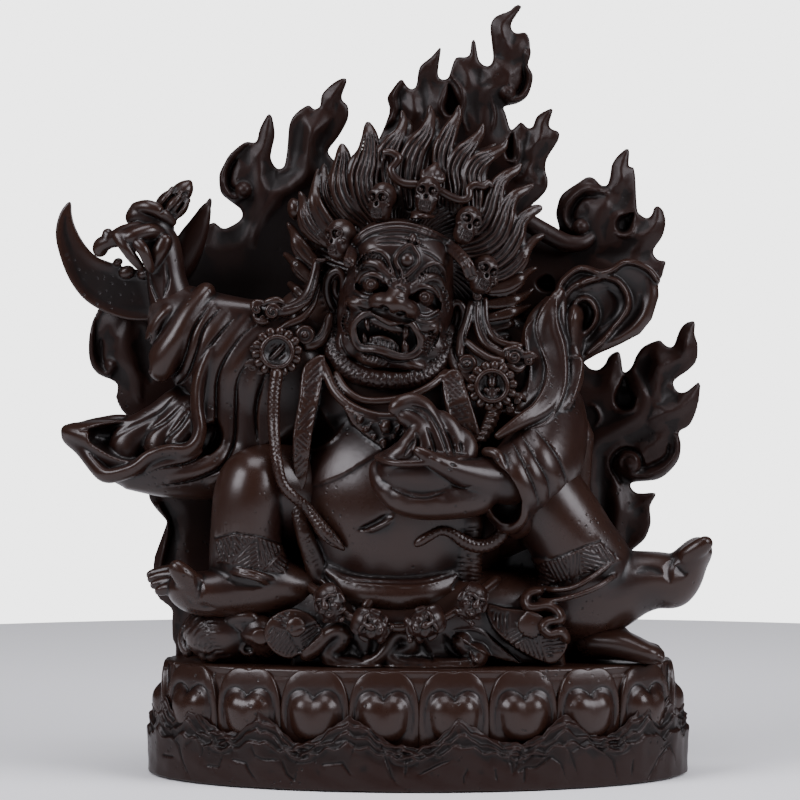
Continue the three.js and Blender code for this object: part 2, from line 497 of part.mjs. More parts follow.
function head() {
  const skull = lump(HEAD_CENTRE, [14.8, 18.4, 14.6], HEAD_TILT, [16, 12]);
  const brow = [-1, 1].map((side) => strand([onFace(side * 1.6, 7, -24), onFace(side * 5, 9.4, -23.6),
    onFace(side * 9.4, 9, -20.6), onFace(side * 11.4, 13.6, -17.4)], 1.7, 5, 5));
  const thirdEye = lump(onFace(-0.2, 13.4, -21.4), [2.4, 3.4, 2.4], HEAD_TILT, [7, 6]);
  const eyes = [-1, 1].map((side) => lump(onFace(side * 6.8, 5.4, -21.6), [2.8, 2.4, 2.4], HEAD_TILT, [8, 6]));
  const nose = limb([[...onFace(0.2, 8, -23), 1.8, 1.6], [...onFace(0.4, 4, -26), 2.2, 2], [...onFace(0.3, 1.6, -27.4), 2.9, 2.2],
    [...onFace(0.2, 0, -26), 2.4, 1.4]], 3, 5);
  const cheeks = [-1, 1].map((side) => lump(onFace(side * 9, 0.6, -18.6), [4.2, 3.4, 4.4], 0, [8, 6]));
  const mouth = lump(onFace(0, -7, -23.6), [8, 4.6, 6], HEAD_TILT, [12, 7]);
  const lips = [1, -1].map((side) => strand([onFace(-9, -6.4, -20.4), onFace(-5.4, -7 + side * 4.8, -23),
    onFace(0, -7 + side * 3.8, -24), onFace(5.4, -7 + side * 4.8, -23), onFace(9, -6.6, -20.4)], 1.1, 8, 4));
  const nostrils = [-1, 1].map((side) => lump(onFace(side * 3.6, 1.2, -24.6), [2, 1.7, 2], 0, [6, 4]));
  const fangs = [-1, 1].flatMap((side) => [1, -1].map((row) => limb([[...onFace(side * 5, -7 + row * 4.4, -22), 1, 1],
    [...onFace(side * 5, -7 + row * 1.2, -23), 0.4, 0.4]], 1, 4)));
  const tongue = lump(onFace(-0.2, -9, -19), [4.4, 2, 4.4], HEAD_TILT, [8, 4]);
  const chin = lump(onFace(0, -14.4, -19.4), [6.4, 2.6, 4], HEAD_TILT, [6, 4]);
  const beard = strand([onFace(-15.4, -1, -11), onFace(-15.6, -9, -13), onFace(-11, -16, -15), onFace(0, -19.4, -16),
    onFace(11, -16, -15), onFace(15.6, -9, -13), onFace(15.4, -1, -11)], 2, 10, 5);
  const ears = [-1, 1].map((side) => limb([[...onFace(side * 15.4, 10, -9), 1.4, 1.2], [...onFace(side * 17.4, 6, -10), 2.6, 1.8],
    [...onFace(side * 17, 0, -10), 2.2, 1.8], [...onFace(side * 16.4, -4, -10), 1.4, 1.2]], 3, 4));
  return joined([skull.subtract(mouth), ...brow, thirdEye, ...eyes, nose, ...cheeks, ...nostrils, ...lips, ...fangs, tongue, chin, beard, ...ears]);
}

const CROWN_SKULLS = [[-19.4, 133.6, -11], [-9.4, 143, -11], [2.4, 145.4, -11.6], [12.2, 137.8, -11], [16.4, 125.4, -10]];

function crown() {
  const band = strand([onFace(-15, 9, -14), onFace(-12, 14.4, -18), onFace(-5, 18.4, -20.4), onFace(3, 18.6, -20.4),
    onFace(10.4, 15.6, -18), onFace(15, 9, -14)], 1.8, 9, 5);
  const skulls = CROWN_SKULLS.flatMap(([x, z, y]) => [
    lump([x, z + 0.6, y], [2.9, 3, 4.6], 0, [8, 6]),
    lump([x, z - 2.4, y - 2], [1.9, 1.7, 2.6], 0, [6, 4]),
    lump([x, z + 4, y + 0.6], [1.7, 1.7, 1.6], 0, [6, 4]),
  ]);
  const [topX, topZ, topY] = CROWN_SKULLS[2];
  const finial = limb([[topX, topZ + 3, topY, 2, 1.6], [topX, topZ + 6.4, topY, 1.6, 1.4], [topX, topZ + 9, topY + 1, 0.5, 0.5]], 2, 4);
  return joined([band, ...skulls, finial]);
}

// Tips of the locks, from the left round over the top to the right
const LOCK_TIPS = [
  [-33.5, 121], [-32, 135], [-30, 146.2], [-24, 150.6], [-19, 156.2], [-13, 161.8], [-8.6, 160], [-4.2, 163.4], [3, 166],
  [10.5, 165.8], [16.8, 161.6], [21.8, 157], [25.5, 151.2], [28, 145.2], [30.6, 140.8], [31.4, 134.8], [30, 126.8], [29.4, 119],
];
const CROWN_OF_HEAD = [-1.5, 126];

function hair() {
  const [rootX, rootZ] = CROWN_OF_HEAD;
  const cap = lump([-1.2, 128, 0], [27, 29, 10], 0, [14, 8]);
  const locks = LOCK_TIPS.map(([x, z], i) => {
    const [dx, dz] = [x - rootX, z - rootZ];
    const bend = i % 2 ? 1.9 : 1.2;
    const length = Math.hypot(dx, dz);
    const [sideX, sideZ] = [(dz / length) * bend, (-dx / length) * bend];
    const layer = i % 2 ? 0 : -2.4;
    return limb([
      [rootX + dx * 0.4 - sideX, rootZ + dz * 0.4 - sideZ, -6 + layer, 3.6, 3],
      [rootX + dx * 0.62 - sideX * 1.4, rootZ + dz * 0.62 - sideZ * 1.4, -4.4 + layer, 3.6, 3],
      [rootX + dx * 0.84 + sideX * 0.4, rootZ + dz * 0.84 + sideZ * 0.4, -2 + layer * 0.6, 2.4, 2.2],
      [x, z, 0, 0.5, 0.5],
    ], 5, 4);
  });
  return joined([cap, ...locks]);
}

// Earrings, side ornaments, garland of heads and snakes

function ornaments() {
  const leftEarring = [-35.2, 104.3, -18];
  const rightEarring = [18.4, 96.2, -21];
  const earrings = [[leftEarring, 5.2], [rightEarring, 5.8]].flatMap(([[x, z, y], radius]) => [
    ring([x, z, y], radius, 1.5),
    ring([x, z, y - 0.6], radius * 0.62, 0.8, 10),
    lump([x, z, y + 1.2], [radius * 0.97, radius * 0.97, 2.4], 0, [8, 3]),
  ]);
  const rosettes = [[-28, 109, -13], [12.3, 101.8, -14], [25.4, 101, -11], [-37.6, 113.6, -7]].map((place) => lump(place, [2.6, 2.3, 3.4], 0, [5, 3]));
  return joined([...earrings, ...rosettes]);
}

const GARLAND = [[-21.6, 41.4, -26], [-11.4, 37.4, -28], [1.8, 37.2, -28.4], [13.2, 41.8, -26.4]];

function garland() {
  const cord = strand([[-27, 47, -20], ...GARLAND.map(([x, z, y]) => [x, z + 2, y + 2]), [19, 47, -20]], 1.4, 8, 4);
  const heads = GARLAND.flatMap(([x, z, y]) => [
    lump([x, z, y], [4.2, 4.9, 3.8], 0.1, [8, 6]),
    lump([x, z - 0.4, y - 3.6], [1, 1.5, 1], 0, [4, 3]),
    lump([x, z + 3.8, y + 0.6], [3.4, 2, 2.8], 0, [6, 4]),
  ]);
  return joined([cord, ...heads]);
}

function snakes() {
  const left = strand([[-35.6, 98.4, -19], [-36.2, 89, -20], [-35.4, 78, -20.6], [-33.6, 71.4, -21.6], [-29.6, 67.2, -22.6],
    [-25.4, 62.2, -23], [-21, 58.4, -23.6], [-18.4, 55.4, -24.4, 0.5]], STRAND_RADIUS, 9, 4);
  const right = strand([[17.4, 65, -21], [20.6, 60, -22], [17, 56.4, -23], [11.4, 56.8, -24.6], [7.4, 59.4, -26],
    [3.4, 59, -27.6], [-0.4, 56.4, -28.2, 0.5]], STRAND_RADIUS, 8, 4);
  const cord = strand([[18.6, 92, -20], [17.4, 84, -21], [14.6, 77, -25]], STRAND_RADIUS, 3, 4);
  return joined([left, right, cord]);
}

// A casting is solid, so a pocket that the joined forms enclose is left out: it is a shell that faces inwards
function withoutPockets(faces, points) {
  const shellOf = points.map((_, i) => i);
  const root = (v) => {
    let found = v;
    while (shellOf[found] !== found) found = shellOf[found];
    shellOf[v] = found;
    return found;
  };
  faces.forEach(([a, b, c]) => {
    shellOf[root(b)] = root(a);
    shellOf[root(c)] = root(a);
  });
  const volumes = new Map();
  faces.forEach(([a, b, c]) => {
    const part = points[a].dot(points[b].clone().cross(points[c])) / 6;
    volumes.set(root(a), (volumes.get(root(a)) ?? 0) + part);
  });
  return faces.filter(([a]) => volumes.get(root(a)) > 0);
}

// Joins leave slivers and needless points. The edge whose loss moves the surface least is drawn to one of its
// ends, again and again, where the surface stays closed and no face turns over, down to the number of faces wanted.
function eased(positions, indices, wanted) {
  const points = Array.from({ length: positions.length / 3 }, (_, i) => new THREE.Vector3().fromArray(positions, 3 * i));
  const faces = Array.from({ length: indices.length / 3 }, (_, i) => [...indices.slice(3 * i, 3 * i + 3)]);
  const around = points.map(() => new Set());
  faces.forEach((face, f) => face.forEach((v) => around[v].add(f)));
  const normalOf = ([a, b, c]) => new THREE.Vector3().subVectors(points[b], points[a])
    .cross(new THREE.Vector3().subVectors(points[c], points[a]));
  const neighbours = (v) => {
    const found = new Set([...around[v]].flatMap((f) => faces[f]));
    found.delete(v);
    return found;
  };
  const costOf = (from, to) => {
    const step = new THREE.Vector3().subVectors(points[to], points[from]);
    let cost = EDGE_COST * step.length();
    for (const f of around[from]) {
      const before = normalOf(faces[f]);
      const size = before.length();
      if (size > 1e-6) cost = Math.max(cost, Math.abs(before.dot(step)) / size);
      if (faces[f].includes(to)) continue;
      const after = normalOf(faces[f].map((v) => (v === from ? to : v)));
      if (after.length() < 1e-3 || after.dot(before) < TURN_LIMIT * after.length() * size) return Infinity;
    }
    return cost;
  };
  const closedWithout = (from, to) => {
    const others = neighbours(to);
    const shared = [...neighbours(from)].filter((v) => others.has(v));
    const folded = [...around[to]].some((f) => shared.every((v) => faces[f].includes(v)));
    return shared.length === 2 && around[from].size > 3 && !folded;
  };
  let left = faces.length;
  while (left > wanted) {
    const choices = [];
    points.forEach((_, v) => {
      if (!around[v].size) return;
      const able = [...neighbours(v)].map((to) => [costOf(v, to), v, to]).filter(([cost]) => cost < LARGEST_COST);
      const best = able.sort((p, q) => p[0] - q[0]).find(([, from, to]) => closedWithout(from, to));
      if (best) choices.push(best);
    });
    choices.sort((p, q) => p[0] - q[0]);
    const touched = new Set();
    let removed = 0;
    for (const [, from, to] of choices.slice(0, Math.max(20, choices.length / 4))) {
      if (left - removed <= wanted) break;
      const ring = neighbours(from);
      if (touched.has(from) || [...ring].some((v) => touched.has(v)) || !closedWithout(from, to)) continue;
      for (const f of [...around[from]]) {
        if (faces[f].includes(to)) {
          faces[f].forEach((v) => around[v].delete(f));
          faces[f] = null;
          removed += 1;
        } else {
          faces[f] = faces[f].map((v) => (v === from ? to : v));
          around[to].add(f);
        }
      }
      around[from].clear();
      ring.forEach((v) => touched.add(v));
    }
    if (!removed) break;
    left -= removed;
  }
  const kept = withoutPockets(faces.filter(Boolean), points);
  const number = new Map();
  kept.flat().forEach((v) => number.has(v) || number.set(v, number.size));
  return { positions: [...number.keys()].flatMap((v) => points[v].toArray()), indices: kept.flat().map((v) => number.get(v)) };
}

function statue() {
  const whole = joined([rocks(), lotus(), halo(), seat(), trodden(), torso(), legs(), leftSleeve(), rightSleeve(), knife(),
    raisedHand(), cupHand(), head(), crown(), hair(), ornaments(), garland(), snakes()]);
  const mesh = whole.getMesh();
  const cast = eased(mesh.vertProperties, mesh.triVerts, FACE_COUNT);
  const geometry = new THREE.BufferGeometry();
  geometry.setAttribute('position', new THREE.Float32BufferAttribute(cast.positions, 3));
  geometry.setIndex(cast.indices);
  const resin = new THREE.MeshStandardMaterial({ color: RESIN_COLOUR, roughness: 0.42, metalness: 0 });
  const statueMesh = new THREE.Mesh(geometry, resin);
  statueMesh.name = 'mahakala_statue';
  return statueMesh;
}

const group = new THREE.Group();
group.add(statue());
export default group;
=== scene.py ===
import math

import bpy
import numpy as np
import openvdb
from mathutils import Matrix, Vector


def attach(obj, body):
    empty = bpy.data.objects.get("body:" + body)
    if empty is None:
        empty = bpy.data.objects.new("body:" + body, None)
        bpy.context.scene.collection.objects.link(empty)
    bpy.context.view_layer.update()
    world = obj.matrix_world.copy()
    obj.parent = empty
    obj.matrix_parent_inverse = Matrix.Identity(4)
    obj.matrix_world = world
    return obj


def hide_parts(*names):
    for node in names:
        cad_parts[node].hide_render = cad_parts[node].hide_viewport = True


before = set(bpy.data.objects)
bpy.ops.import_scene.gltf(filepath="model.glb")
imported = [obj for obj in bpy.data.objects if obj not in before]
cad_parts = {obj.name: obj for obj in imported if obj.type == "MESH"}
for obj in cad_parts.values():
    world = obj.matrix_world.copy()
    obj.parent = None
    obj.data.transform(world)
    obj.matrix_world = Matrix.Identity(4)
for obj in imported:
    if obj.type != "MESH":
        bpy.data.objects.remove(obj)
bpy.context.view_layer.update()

# The rock base: a low oval ring of folded peaks, the lowest part of the one casting in dark resin.
# The moulded strata step outwards below each crest, and thin lines part the boulders down to the flat
# underside that the statue stands on.
MM = 0.001
BASE_HALF_WIDTH, BASE_HALF_DEPTH = 68.2, 38.3
ROCK_LEAN = 1.2
ROCK_FLOOR = 9.4
ROCK_INNER_INSET = 5.4
STRATA = ((0.86, 0.5), (0.7, 1.7), (0.42, 2.4))
STRATUM_STEP = 0.75
ROCK_REACH = 3.1
ROCKS_AROUND, ROCKS_UP = 1100, 60


def smooth_path(points, steps=5, closed=False):
    """Points on an even curve through the given ones."""
    p = np.asarray(points, dtype=float)
    if closed:
        p = np.vstack([p[-1], p, p[0], p[1]])
    else:
        p = np.vstack([2 * p[0] - p[1], p, 2 * p[-1] - p[-2]])
    t = np.linspace(0, 1, steps, endpoint=False)[:, None]
    out = []
    for a, b, c, d in zip(p[:-3], p[1:-2], p[2:-1], p[3:]):
        out.append(0.5 * (2 * b + (c - a) * t + (2 * a - 5 * b + 4 * c - d) * t**2 + (3 * b - a - 3 * c + d) * t**3))
    out = np.vstack(out)
    return out if closed else np.vstack([out, p[-2]])


def eased(value, low, high):
    """0 below low, 1 above high, and a smooth step between them."""
    t = np.clip((value - low) / (high - low), 0, 1)
    return t * t * (3 - 2 * t)


class Relief:
    """Heights over a drawing: what the modelling tool leaves standing (positive) or cuts away (negative)."""

    def __init__(self, low, high, step):
        self.low, self.step = np.array(low, dtype=float), step
        self.shape = tuple(int(math.ceil((b - a) / step)) + 1 for a, b in zip(low, high))
        self.u = (low[0] + step * np.arange(self.shape[0])).astype(np.float32)
        self.v = (low[1] + step * np.arange(self.shape[1])).astype(np.float32)
        self.height = np.zeros(self.shape, dtype=np.float32)

    def window(self, low, high):
        spans = []
        for i in range(2):
            first = int(np.clip((low[i] - self.low[i]) / self.step, 0, self.shape[i]))
            last = int(np.clip((high[i] - self.low[i]) / self.step + 2, 0, self.shape[i]))
            spans.append(slice(first, last))
        return tuple(spans)

    def near(self, points, reach):
        """Distance to a path, up to reach, and how far along the path its nearest place is, from 0 to 1."""
        p = np.asarray(points, dtype=np.float32)[:, :2]
        lengths = np.concatenate([[0], np.cumsum(np.hypot(*np.diff(p, axis=0).T))])
        whole = self.window(p.min(0) - reach, p.max(0) + reach)
        best = np.full((whole[0].stop - whole[0].start, whole[1].stop - whole[1].start), reach, dtype=np.float32)
        along = np.zeros_like(best)
        for a, b, start, end in zip(p[:-1], p[1:], lengths[:-1], lengths[1:]):
            w = self.window(np.minimum(a, b) - reach, np.maximum(a, b) + reach)
            if w[0].start >= w[0].stop or w[1].start >= w[1].stop or end <= start:
                continue
            du, dv = self.u[w[0]][:, None] - a[0], self.v[w[1]][None, :] - a[1]
            t = np.clip((du * (b[0] - a[0]) + dv * (b[1] - a[1])) / (end - start) ** 2, 0, 1)
            d = np.hypot(du - t * (b[0] - a[0]), dv - t * (b[1] - a[1]))
            inner = tuple(slice(s.start - o.start, s.stop - o.start) for s, o in zip(w, whole))
            closer = d < best[inner]
            best[inner] = np.where(closer, d, best[inner])
            along[inner] = np.where(closer, (start + t * (end - start)) / lengths[-1], along[inner])
        return whole, best, along

    def inside(self, outline):
        """True within a closed outline."""
        p = np.asarray(outline, dtype=float)
        flips = np.zeros((self.shape[0] + 1, self.shape[1]), dtype=np.int32)
        for a, b in zip(p, np.roll(p, -1, axis=0)):
            if a[1] == b[1]:
                continue
            rows = np.nonzero((self.v >= min(a[1], b[1])) & (self.v < max(a[1], b[1])))[0]
            cross = a[0] + (self.v[rows] - a[1]) * (b[0] - a[0]) / (b[1] - a[1])
            np.add.at(flips, (np.clip(np.searchsorted(self.u, cross), 0, self.shape[0]), rows), 1)
        return (np.cumsum(flips, axis=0)[:-1] % 2).astype(bool)

    def signed(self, outline, reach):
        """Distance to a closed outline, negative inside it, over the whole drawing."""
        ring = np.vstack([outline, outline[:1]])
        w, d, _ = self.near(ring, reach)
        out = np.full(self.shape, reach, dtype=np.float32)
        out[w] = d
        return np.where(self.inside(outline), -out, out)

    def press(self, paths, width, height, ends=(0.4, 0.4), steps=5, square=False):
        """Adds lines of one kind. ends is the share of the width left at the two ends of each path."""
        total = np.zeros(self.shape, dtype=np.float32)
        for path in paths:
            w, d, along = self.near(smooth_path(path, steps) if steps else path, width)
            at = width * np.minimum(1,
                np.minimum(ends[0] + (1 - ends[0]) * along * 4, ends[1] + (1 - ends[1]) * (1 - along) * 4))
            share = np.clip(1 - (d / at) ** 2, 0, 1)
            share = eased(share, 0, 0.55) if square else share**2
            total[w] = np.maximum(total[w], share * (at / width))
        self.height += height * total

    def raise_area(self, outline, edge, height):
        """Adds a flat area with sloping edges."""
        self.height += height * eased(-self.signed(outline, edge * 1.5), 0, edge)

    def at(self, u, v):
        """Heights at places, between the grid's own."""
        i = np.clip((u - self.low[0]) / self.step, 0, self.shape[0] - 1.001)
        j = np.clip((v - self.low[1]) / self.step, 0, self.shape[1] - 1.001)
        i0, j0 = i.astype(int), j.astype(int)
        fi, fj = i - i0, j - j0
        h = self.height
        return ((h[i0, j0] * (1 - fi) + h[i0 + 1, j0] * fi) * (1 - fj)
                + (h[i0, j0 + 1] * (1 - fi) + h[i0 + 1, j0 + 1] * fi) * fj)


class Finish:
    """A socket of a node tree, so that a finish or a build can be written as arithmetic."""

    def __init__(self, tree, socket=None):
        self.tree, self.socket = tree, socket

    def node(self, kind, settings=None, values=None, outlet=0):
        made = self.tree.nodes.new(kind)
        for name, value in (settings or {}).items():
            setattr(made, name, value)
        for name, value in (values or {}).items():
            target = made.inputs[name]
            if isinstance(value, Finish):
                self.tree.links.new(value.socket, target)
            else:
                target.default_value = value
        return Finish(self.tree, made.outputs[outlet] if made.outputs else None)

    def maths(self, operation, first, second):
        return self.node("ShaderNodeMath", {"operation": operation}, {0: first, 1: second})

    def __add__(self, other):
        return self.maths("ADD", self, other)

    def __radd__(self, other):
        return self.maths("ADD", other, self)

    def __sub__(self, other):
        return self.maths("SUBTRACT", self, other)

    def __rsub__(self, other):
        return self.maths("SUBTRACT", other, self)

    def __mul__(self, other):
        return self.maths("MULTIPLY", self, other)

    def __rmul__(self, other):
        return self.maths("MULTIPLY", other, self)

    def __pow__(self, other):
        return self.maths("POWER", self, other)

    def between(self, low, high):
        return self.node("ShaderNodeMapRange", {"interpolation_type": "SMOOTHSTEP"}, {0: self, 1: low, 2: high})

    def blend(self, share, first, second):
        return self.node("ShaderNodeMix", {"data_type": "RGBA"}, {"Factor": share, 6: first, 7: second}, outlet=2)


def brown_resin(name, deep, body, rubbed, gloss, shine):
    """Dark stained resin, rubbed warm on the broad swells that cloths have worn, near black in its pits, and blackish
    in the hollows: painted shade for the shadow that falls in creases and recesses, over the darker colour the resin
    keeps there.
    """
    material = bpy.data.materials.new(name)
    material.use_nodes = True
    tree = material.node_tree
    tree.nodes.clear()
    stain_and_shade = Finish(tree)
    place = stain_and_shade.node("ShaderNodeTexCoord", outlet=3)
    hollow, swell = [stain_and_shade.node("ShaderNodeAttribute", {"attribute_name": a}, outlet=2) for a in ("hollow", "swell")]
    clouds = stain_and_shade.node("ShaderNodeTexNoise", values={"Vector": place, "Scale": 62.0, "Detail": 5.0, "Roughness": 0.6})
    grain = stain_and_shade.node("ShaderNodeTexNoise", values={"Vector": place, "Scale": 900.0, "Detail": 3.0})
    pits = stain_and_shade.node("ShaderNodeTexVoronoi", values={"Vector": place, "Scale": 560.0, "Randomness": 1.0})
    few = stain_and_shade.node("ShaderNodeTexNoise", values={"Vector": place, "Scale": 85.0, "Detail": 1.0}).between(0.52, 0.66)
    holes = (1 - pits.between(0.12, 0.26)) * few
    high = (swell + (clouds - 0.5) * 0.7).between(0.2, 0.75)
    # low is the mask of painted shade: it darkens narrow and broad hollows, where shadow falls, over their darker
    # colour.
    low = (hollow + (clouds - 0.5) * 0.15).between(0.2, 0.8)
    tone = stain_and_shade.blend(clouds.between(0.3, 0.72), body, tuple(0.72 * c for c in body[:3]) + (1,))
    tone = stain_and_shade.blend(high * 0.8, tone, rubbed)
    # Painted shade: the hollows are blended towards the pits-and-shade colour.
    tone = stain_and_shade.blend(low * 0.92, tone, deep)
    tone = stain_and_shade.blend(holes * 0.75, tone, deep)
    rough = gloss + (clouds - 0.5) * 0.22 + low * 0.06 + holes * 0.2 - high * 0.04 + (grain - 0.5) * 0.08
    relief = (grain - 0.5) * 0.3 - holes * 1.6 + (clouds - 0.5) * 0.5
    normal = stain_and_shade.node("ShaderNodeBump", values={"Strength": 0.34, "Distance": 0.00022, "Height": relief})
    shader = stain_and_shade.node("ShaderNodeBsdfPrincipled", values={
        "Base Color": tone, "Roughness": rough, "Normal": normal, "IOR": 1.5, "Specular IOR Level": shine})
    stain_and_shade.node("ShaderNodeOutputMaterial", values={"Surface": shader})
    return material


# The first colour is both the near black of the pits and the painted shade laid into the hollows.
RESIN_PITS_AND_SHADE = (0.0036, 0.0014, 0.0010, 1)
RESIN_BODY = (0.0152, 0.0058, 0.0041, 1)
RESIN_RUBBED = (0.0225, 0.0094, 0.0060, 1)
resin = brown_resin("dark_brown_resin", RESIN_PITS_AND_SHADE, RESIN_BODY, RESIN_RUBBED, 0.34, 0.34)


def mesh_of(name, points, faces):
    """A mesh from points in millimetres and lists of triangles and quads."""
    mesh = bpy.data.meshes.new(name)
    corners = np.concatenate([f.ravel() for f in faces])
    sizes = np.concatenate([np.full(len(f), f.shape[1]) for f in faces])
    mesh.vertices.add(len(points))
    mesh.vertices.foreach_set("co", (np.asarray(points) * MM).astype(np.float32).ravel())
    mesh.loops.add(len(corners))
    mesh.loops.foreach_set("vertex_index", corners.astype(np.int32))
    mesh.polygons.add(len(sizes))
    mesh.polygons.foreach_set("loop_start", (np.cumsum(sizes) - sizes).astype(np.int32))
    mesh.update(calc_edges=True)
    mesh.validate()
    return mesh


BROAD_ROUNDS, BROAD_HOLLOW, BROAD_SWELL = 5, 12, 7


def note_shade_and_wear(mesh, rounds=9, full=0.12):
    """Stores how deep each point lies in a hollow, narrow or broad, and how high on a broad swell, from 0 to 1: the
    hollows take painted shade, the swells the rubbed wear.
    """
    count = len(mesh.vertices)
    places = np.empty(count * 3, dtype=np.float32)
    mesh.vertices.foreach_get("co", places)
    places = places.reshape(-1, 3) / MM
    ends = np.empty(len(mesh.edges) * 2, dtype=np.int32)
    mesh.edges.foreach_get("vertices", ends)
    a, b = ends.reshape(-1, 2).T
    near = np.maximum(np.bincount(a, minlength=count) + np.bincount(b, minlength=count), 1)
    outwards = np.empty(count * 3, dtype=np.float32)
    mesh.vertex_normals.foreach_get("vector", outwards)
    soft, stands = places.astype(float), []
    for again in range(rounds * BROAD_ROUNDS):
        soft = np.stack([(np.bincount(a, soft[b, i], count) + np.bincount(b, soft[a, i], count)) / near
                         for i in range(3)], axis=1)
        if again + 1 in (rounds, rounds * BROAD_ROUNDS):
            stands.append(((places - soft) * outwards.reshape(-1, 3)).sum(axis=1) / full)
    for title, amount in (("hollow", np.maximum(-stands[0], -stands[1] / BROAD_HOLLOW)),
            ("swell", stands[1] / BROAD_SWELL)):
        mesh.attributes.new(title, "FLOAT", "POINT").data.foreach_set("value", np.clip(amount, 0, 1).astype(np.float32))


def cast(name, mesh, most, rounds=9, finish=None):
    """Makes a mesh a piece of the casting: thins it, smooths its shading, notes its hollows for painted shade and its
    swells for wear and gives it to the frame.
    """
    piece = bpy.data.objects.new(name, mesh)
    bpy.context.collection.objects.link(piece)
    mesh.calc_loop_triangles()
    triangles = len(mesh.loop_triangles)
    if triangles > most:
        rub = piece.modifiers.new("rub", "SMOOTH")
        rub.factor, rub.iterations = 0.5, 2
        thin = piece.modifiers.new("thin", "DECIMATE")
        thin.ratio = most / triangles
        seen = bpy.context.evaluated_depsgraph_get()
        done = bpy.data.meshes.new_from_object(piece.evaluated_get(seen), depsgraph=seen)
        piece.modifiers.clear()
        piece.data = done
        bpy.data.meshes.remove(mesh)
    piece.data.name = name
    piece.data.shade_smooth()
    note_shade_and_wear(piece.data, rounds)
    piece.data.materials.clear()
    piece.data.materials.append(finish or resin)
    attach(piece, "root")
    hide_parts("mahakala_statue")
    return piece


def round_oval(half_width, half_depth, share):
    """Places at even shares of the way round an oval from its front centre, and the way each one faces."""
    fine = np.linspace(0, 2 * np.pi, 4001)
    x, y = half_width * np.sin(fine), -half_depth * np.cos(fine)
    lengths = np.concatenate([[0], np.cumsum(np.hypot(np.diff(x), np.diff(y)))])
    angle = np.interp(np.asarray(share) * lengths[-1], lengths, fine)
    return (half_width * np.sin(angle), -half_depth * np.cos(angle),
            np.arctan2(half_depth * np.sin(angle), half_width * np.cos(angle)), lengths[-1])


EYE_X, EYE_Z, EYE_DISTANCE = -4.5, 92.75, 650.0
SKETCH_ACROSS, SKETCH_DOWN, SKETCH_SCALE = 418.0, 771.0, 4.0


def drawn(*places):
    """Places on the front drawing, in millimetres, from a sketch at four times full size, counted from its top left."""
    return [((p[0] - SKETCH_ACROSS) / SKETCH_SCALE, (SKETCH_DOWN - p[1]) / SKETCH_SCALE, *p[2:]) for p in places]


# Crest of the rocks: (millimetres to the right round the oval from its front centre, height)
ROCK_CREST = [
    (-84, 19.5), (-78.5, 14.5), (-73, 20.4), (-68, 15), (-61, 19.4), (-55, 14.4), (-50, 12.6), (-46, 13.6), (-40, 18.4),
    (-36.6, 16), (-31, 11), (-27, 11.6), (-17, 18), (-12.6, 15.4), (-7, 11.4), (0, 10.4), (4.6, 12.4), (9.6, 17.6),
    (13.6, 15.2), (19, 11.8), (26, 11.2), (31, 13.4), (36, 18), (40.4, 15.6), (46.6, 11.8), (51, 12.6), (57, 17),
    (61, 19.6), (65.6, 15), (71, 20.2), (76.5, 15), (82, 20),
]
# Cracks that part the boulders below the strata, on the sketch
ROCK_CRACKS = (
    ((205, 766), (216, 767), (221, 752)), ((231, 760), (244, 763), (248, 772), (258, 785)),
    ((250, 748), (254, 756), (262, 760), (280, 760)), ((281, 762), (286, 775), (293, 781), (297, 768)),
    ((322, 765), (342, 763), (350, 775), (354, 778)), ((331, 743), (344, 740), (354, 746), (351, 756), (346, 760)),
    ((362, 738), (368, 733), (380, 745), (386, 762), (392, 778), (400, 788)), ((406, 758), (405, 779)),
    ((420, 775), (440, 765), (453, 760)), ((468, 770), (464, 778), (465, 786)), ((496, 770), (498, 782)),
    ((501, 742), (508, 752), (513, 765), (514, 778)), ((530, 745), (520, 758), (515, 775)),
    ((520, 772), (527, 768), (537, 768), (548, 760), (553, 757), (562, 763), (566, 775), (572, 786)),
    ((525, 762), (532, 757), (553, 757)), ((526, 770), (525, 783)), ((562, 743), (570, 750), (575, 762), (579, 775)),
    ((572, 752), (594, 740), (604, 750), (616, 760), (619, 778), (625, 788)), ((636, 760), (634, 778)),
    ((650, 780), (662, 757), (673, 745), (677, 755), (680, 768)),
    ((160, 736), (168, 736), (176, 745), (181, 765), (190, 783)), ((160, 755), (172, 757)),
    ((184, 745), (193, 736), (200, 748), (198, 762)),
)
_, _, _, rock_length = round_oval(BASE_HALF_WIDTH, BASE_HALF_DEPTH, [0.0])
behind = np.arange(ROCK_CREST[-1][0] + 5, rock_length + ROCK_CREST[0][0] - 2, 6.4)
behind_heights = np.where(np.arange(len(behind)) % 2, 18.2, 12.4) + 1.4 * np.sin(behind * 1.7)
crest_s = np.concatenate([[p[0] for p in ROCK_CREST], behind, [ROCK_CREST[0][0] + rock_length]])
crest_z = np.concatenate([[p[1] for p in ROCK_CREST], behind_heights, [ROCK_CREST[0][1]]])
s_low, s_high = ROCK_CREST[0][0], ROCK_CREST[0][0] + rock_length
crags = Relief((s_low, 0.0), (s_high, 22.0), 0.2)
fine_crest = np.interp(crags.u, crest_s, crest_z)
fine_crest += 0.3 * np.sin(crags.u * 1.9) * np.sin(crags.u * 0.53 + 1)
for number, (keep, drop) in enumerate(STRATA):
    level = 11 + keep * (fine_crest - 11) - drop + 0.45 * np.sin(crags.u * (0.83 + 0.21 * number) + number * 2.1)
    below = level[:, None] - crags.v[None, :]
    crags.height += STRATUM_STEP * eased(below, -0.2, 0.35)
    crags.height += 0.42 * np.exp(-((below - 0.32) / 0.28) ** 2)
PEAK_FROM, PEAK_HALF = 16.5, 7
facets = np.zeros(crags.shape, dtype=np.float32)
for s, z in zip(crest_s, crest_z):
    if z > PEAK_FROM:
        facets = np.maximum(facets, np.clip(1 - np.abs(crags.u - s) / PEAK_HALF, 0, 1)[:, None] * eased(crags.v, 1,
            z)[None, :])
crags.height += 1.5 * facets
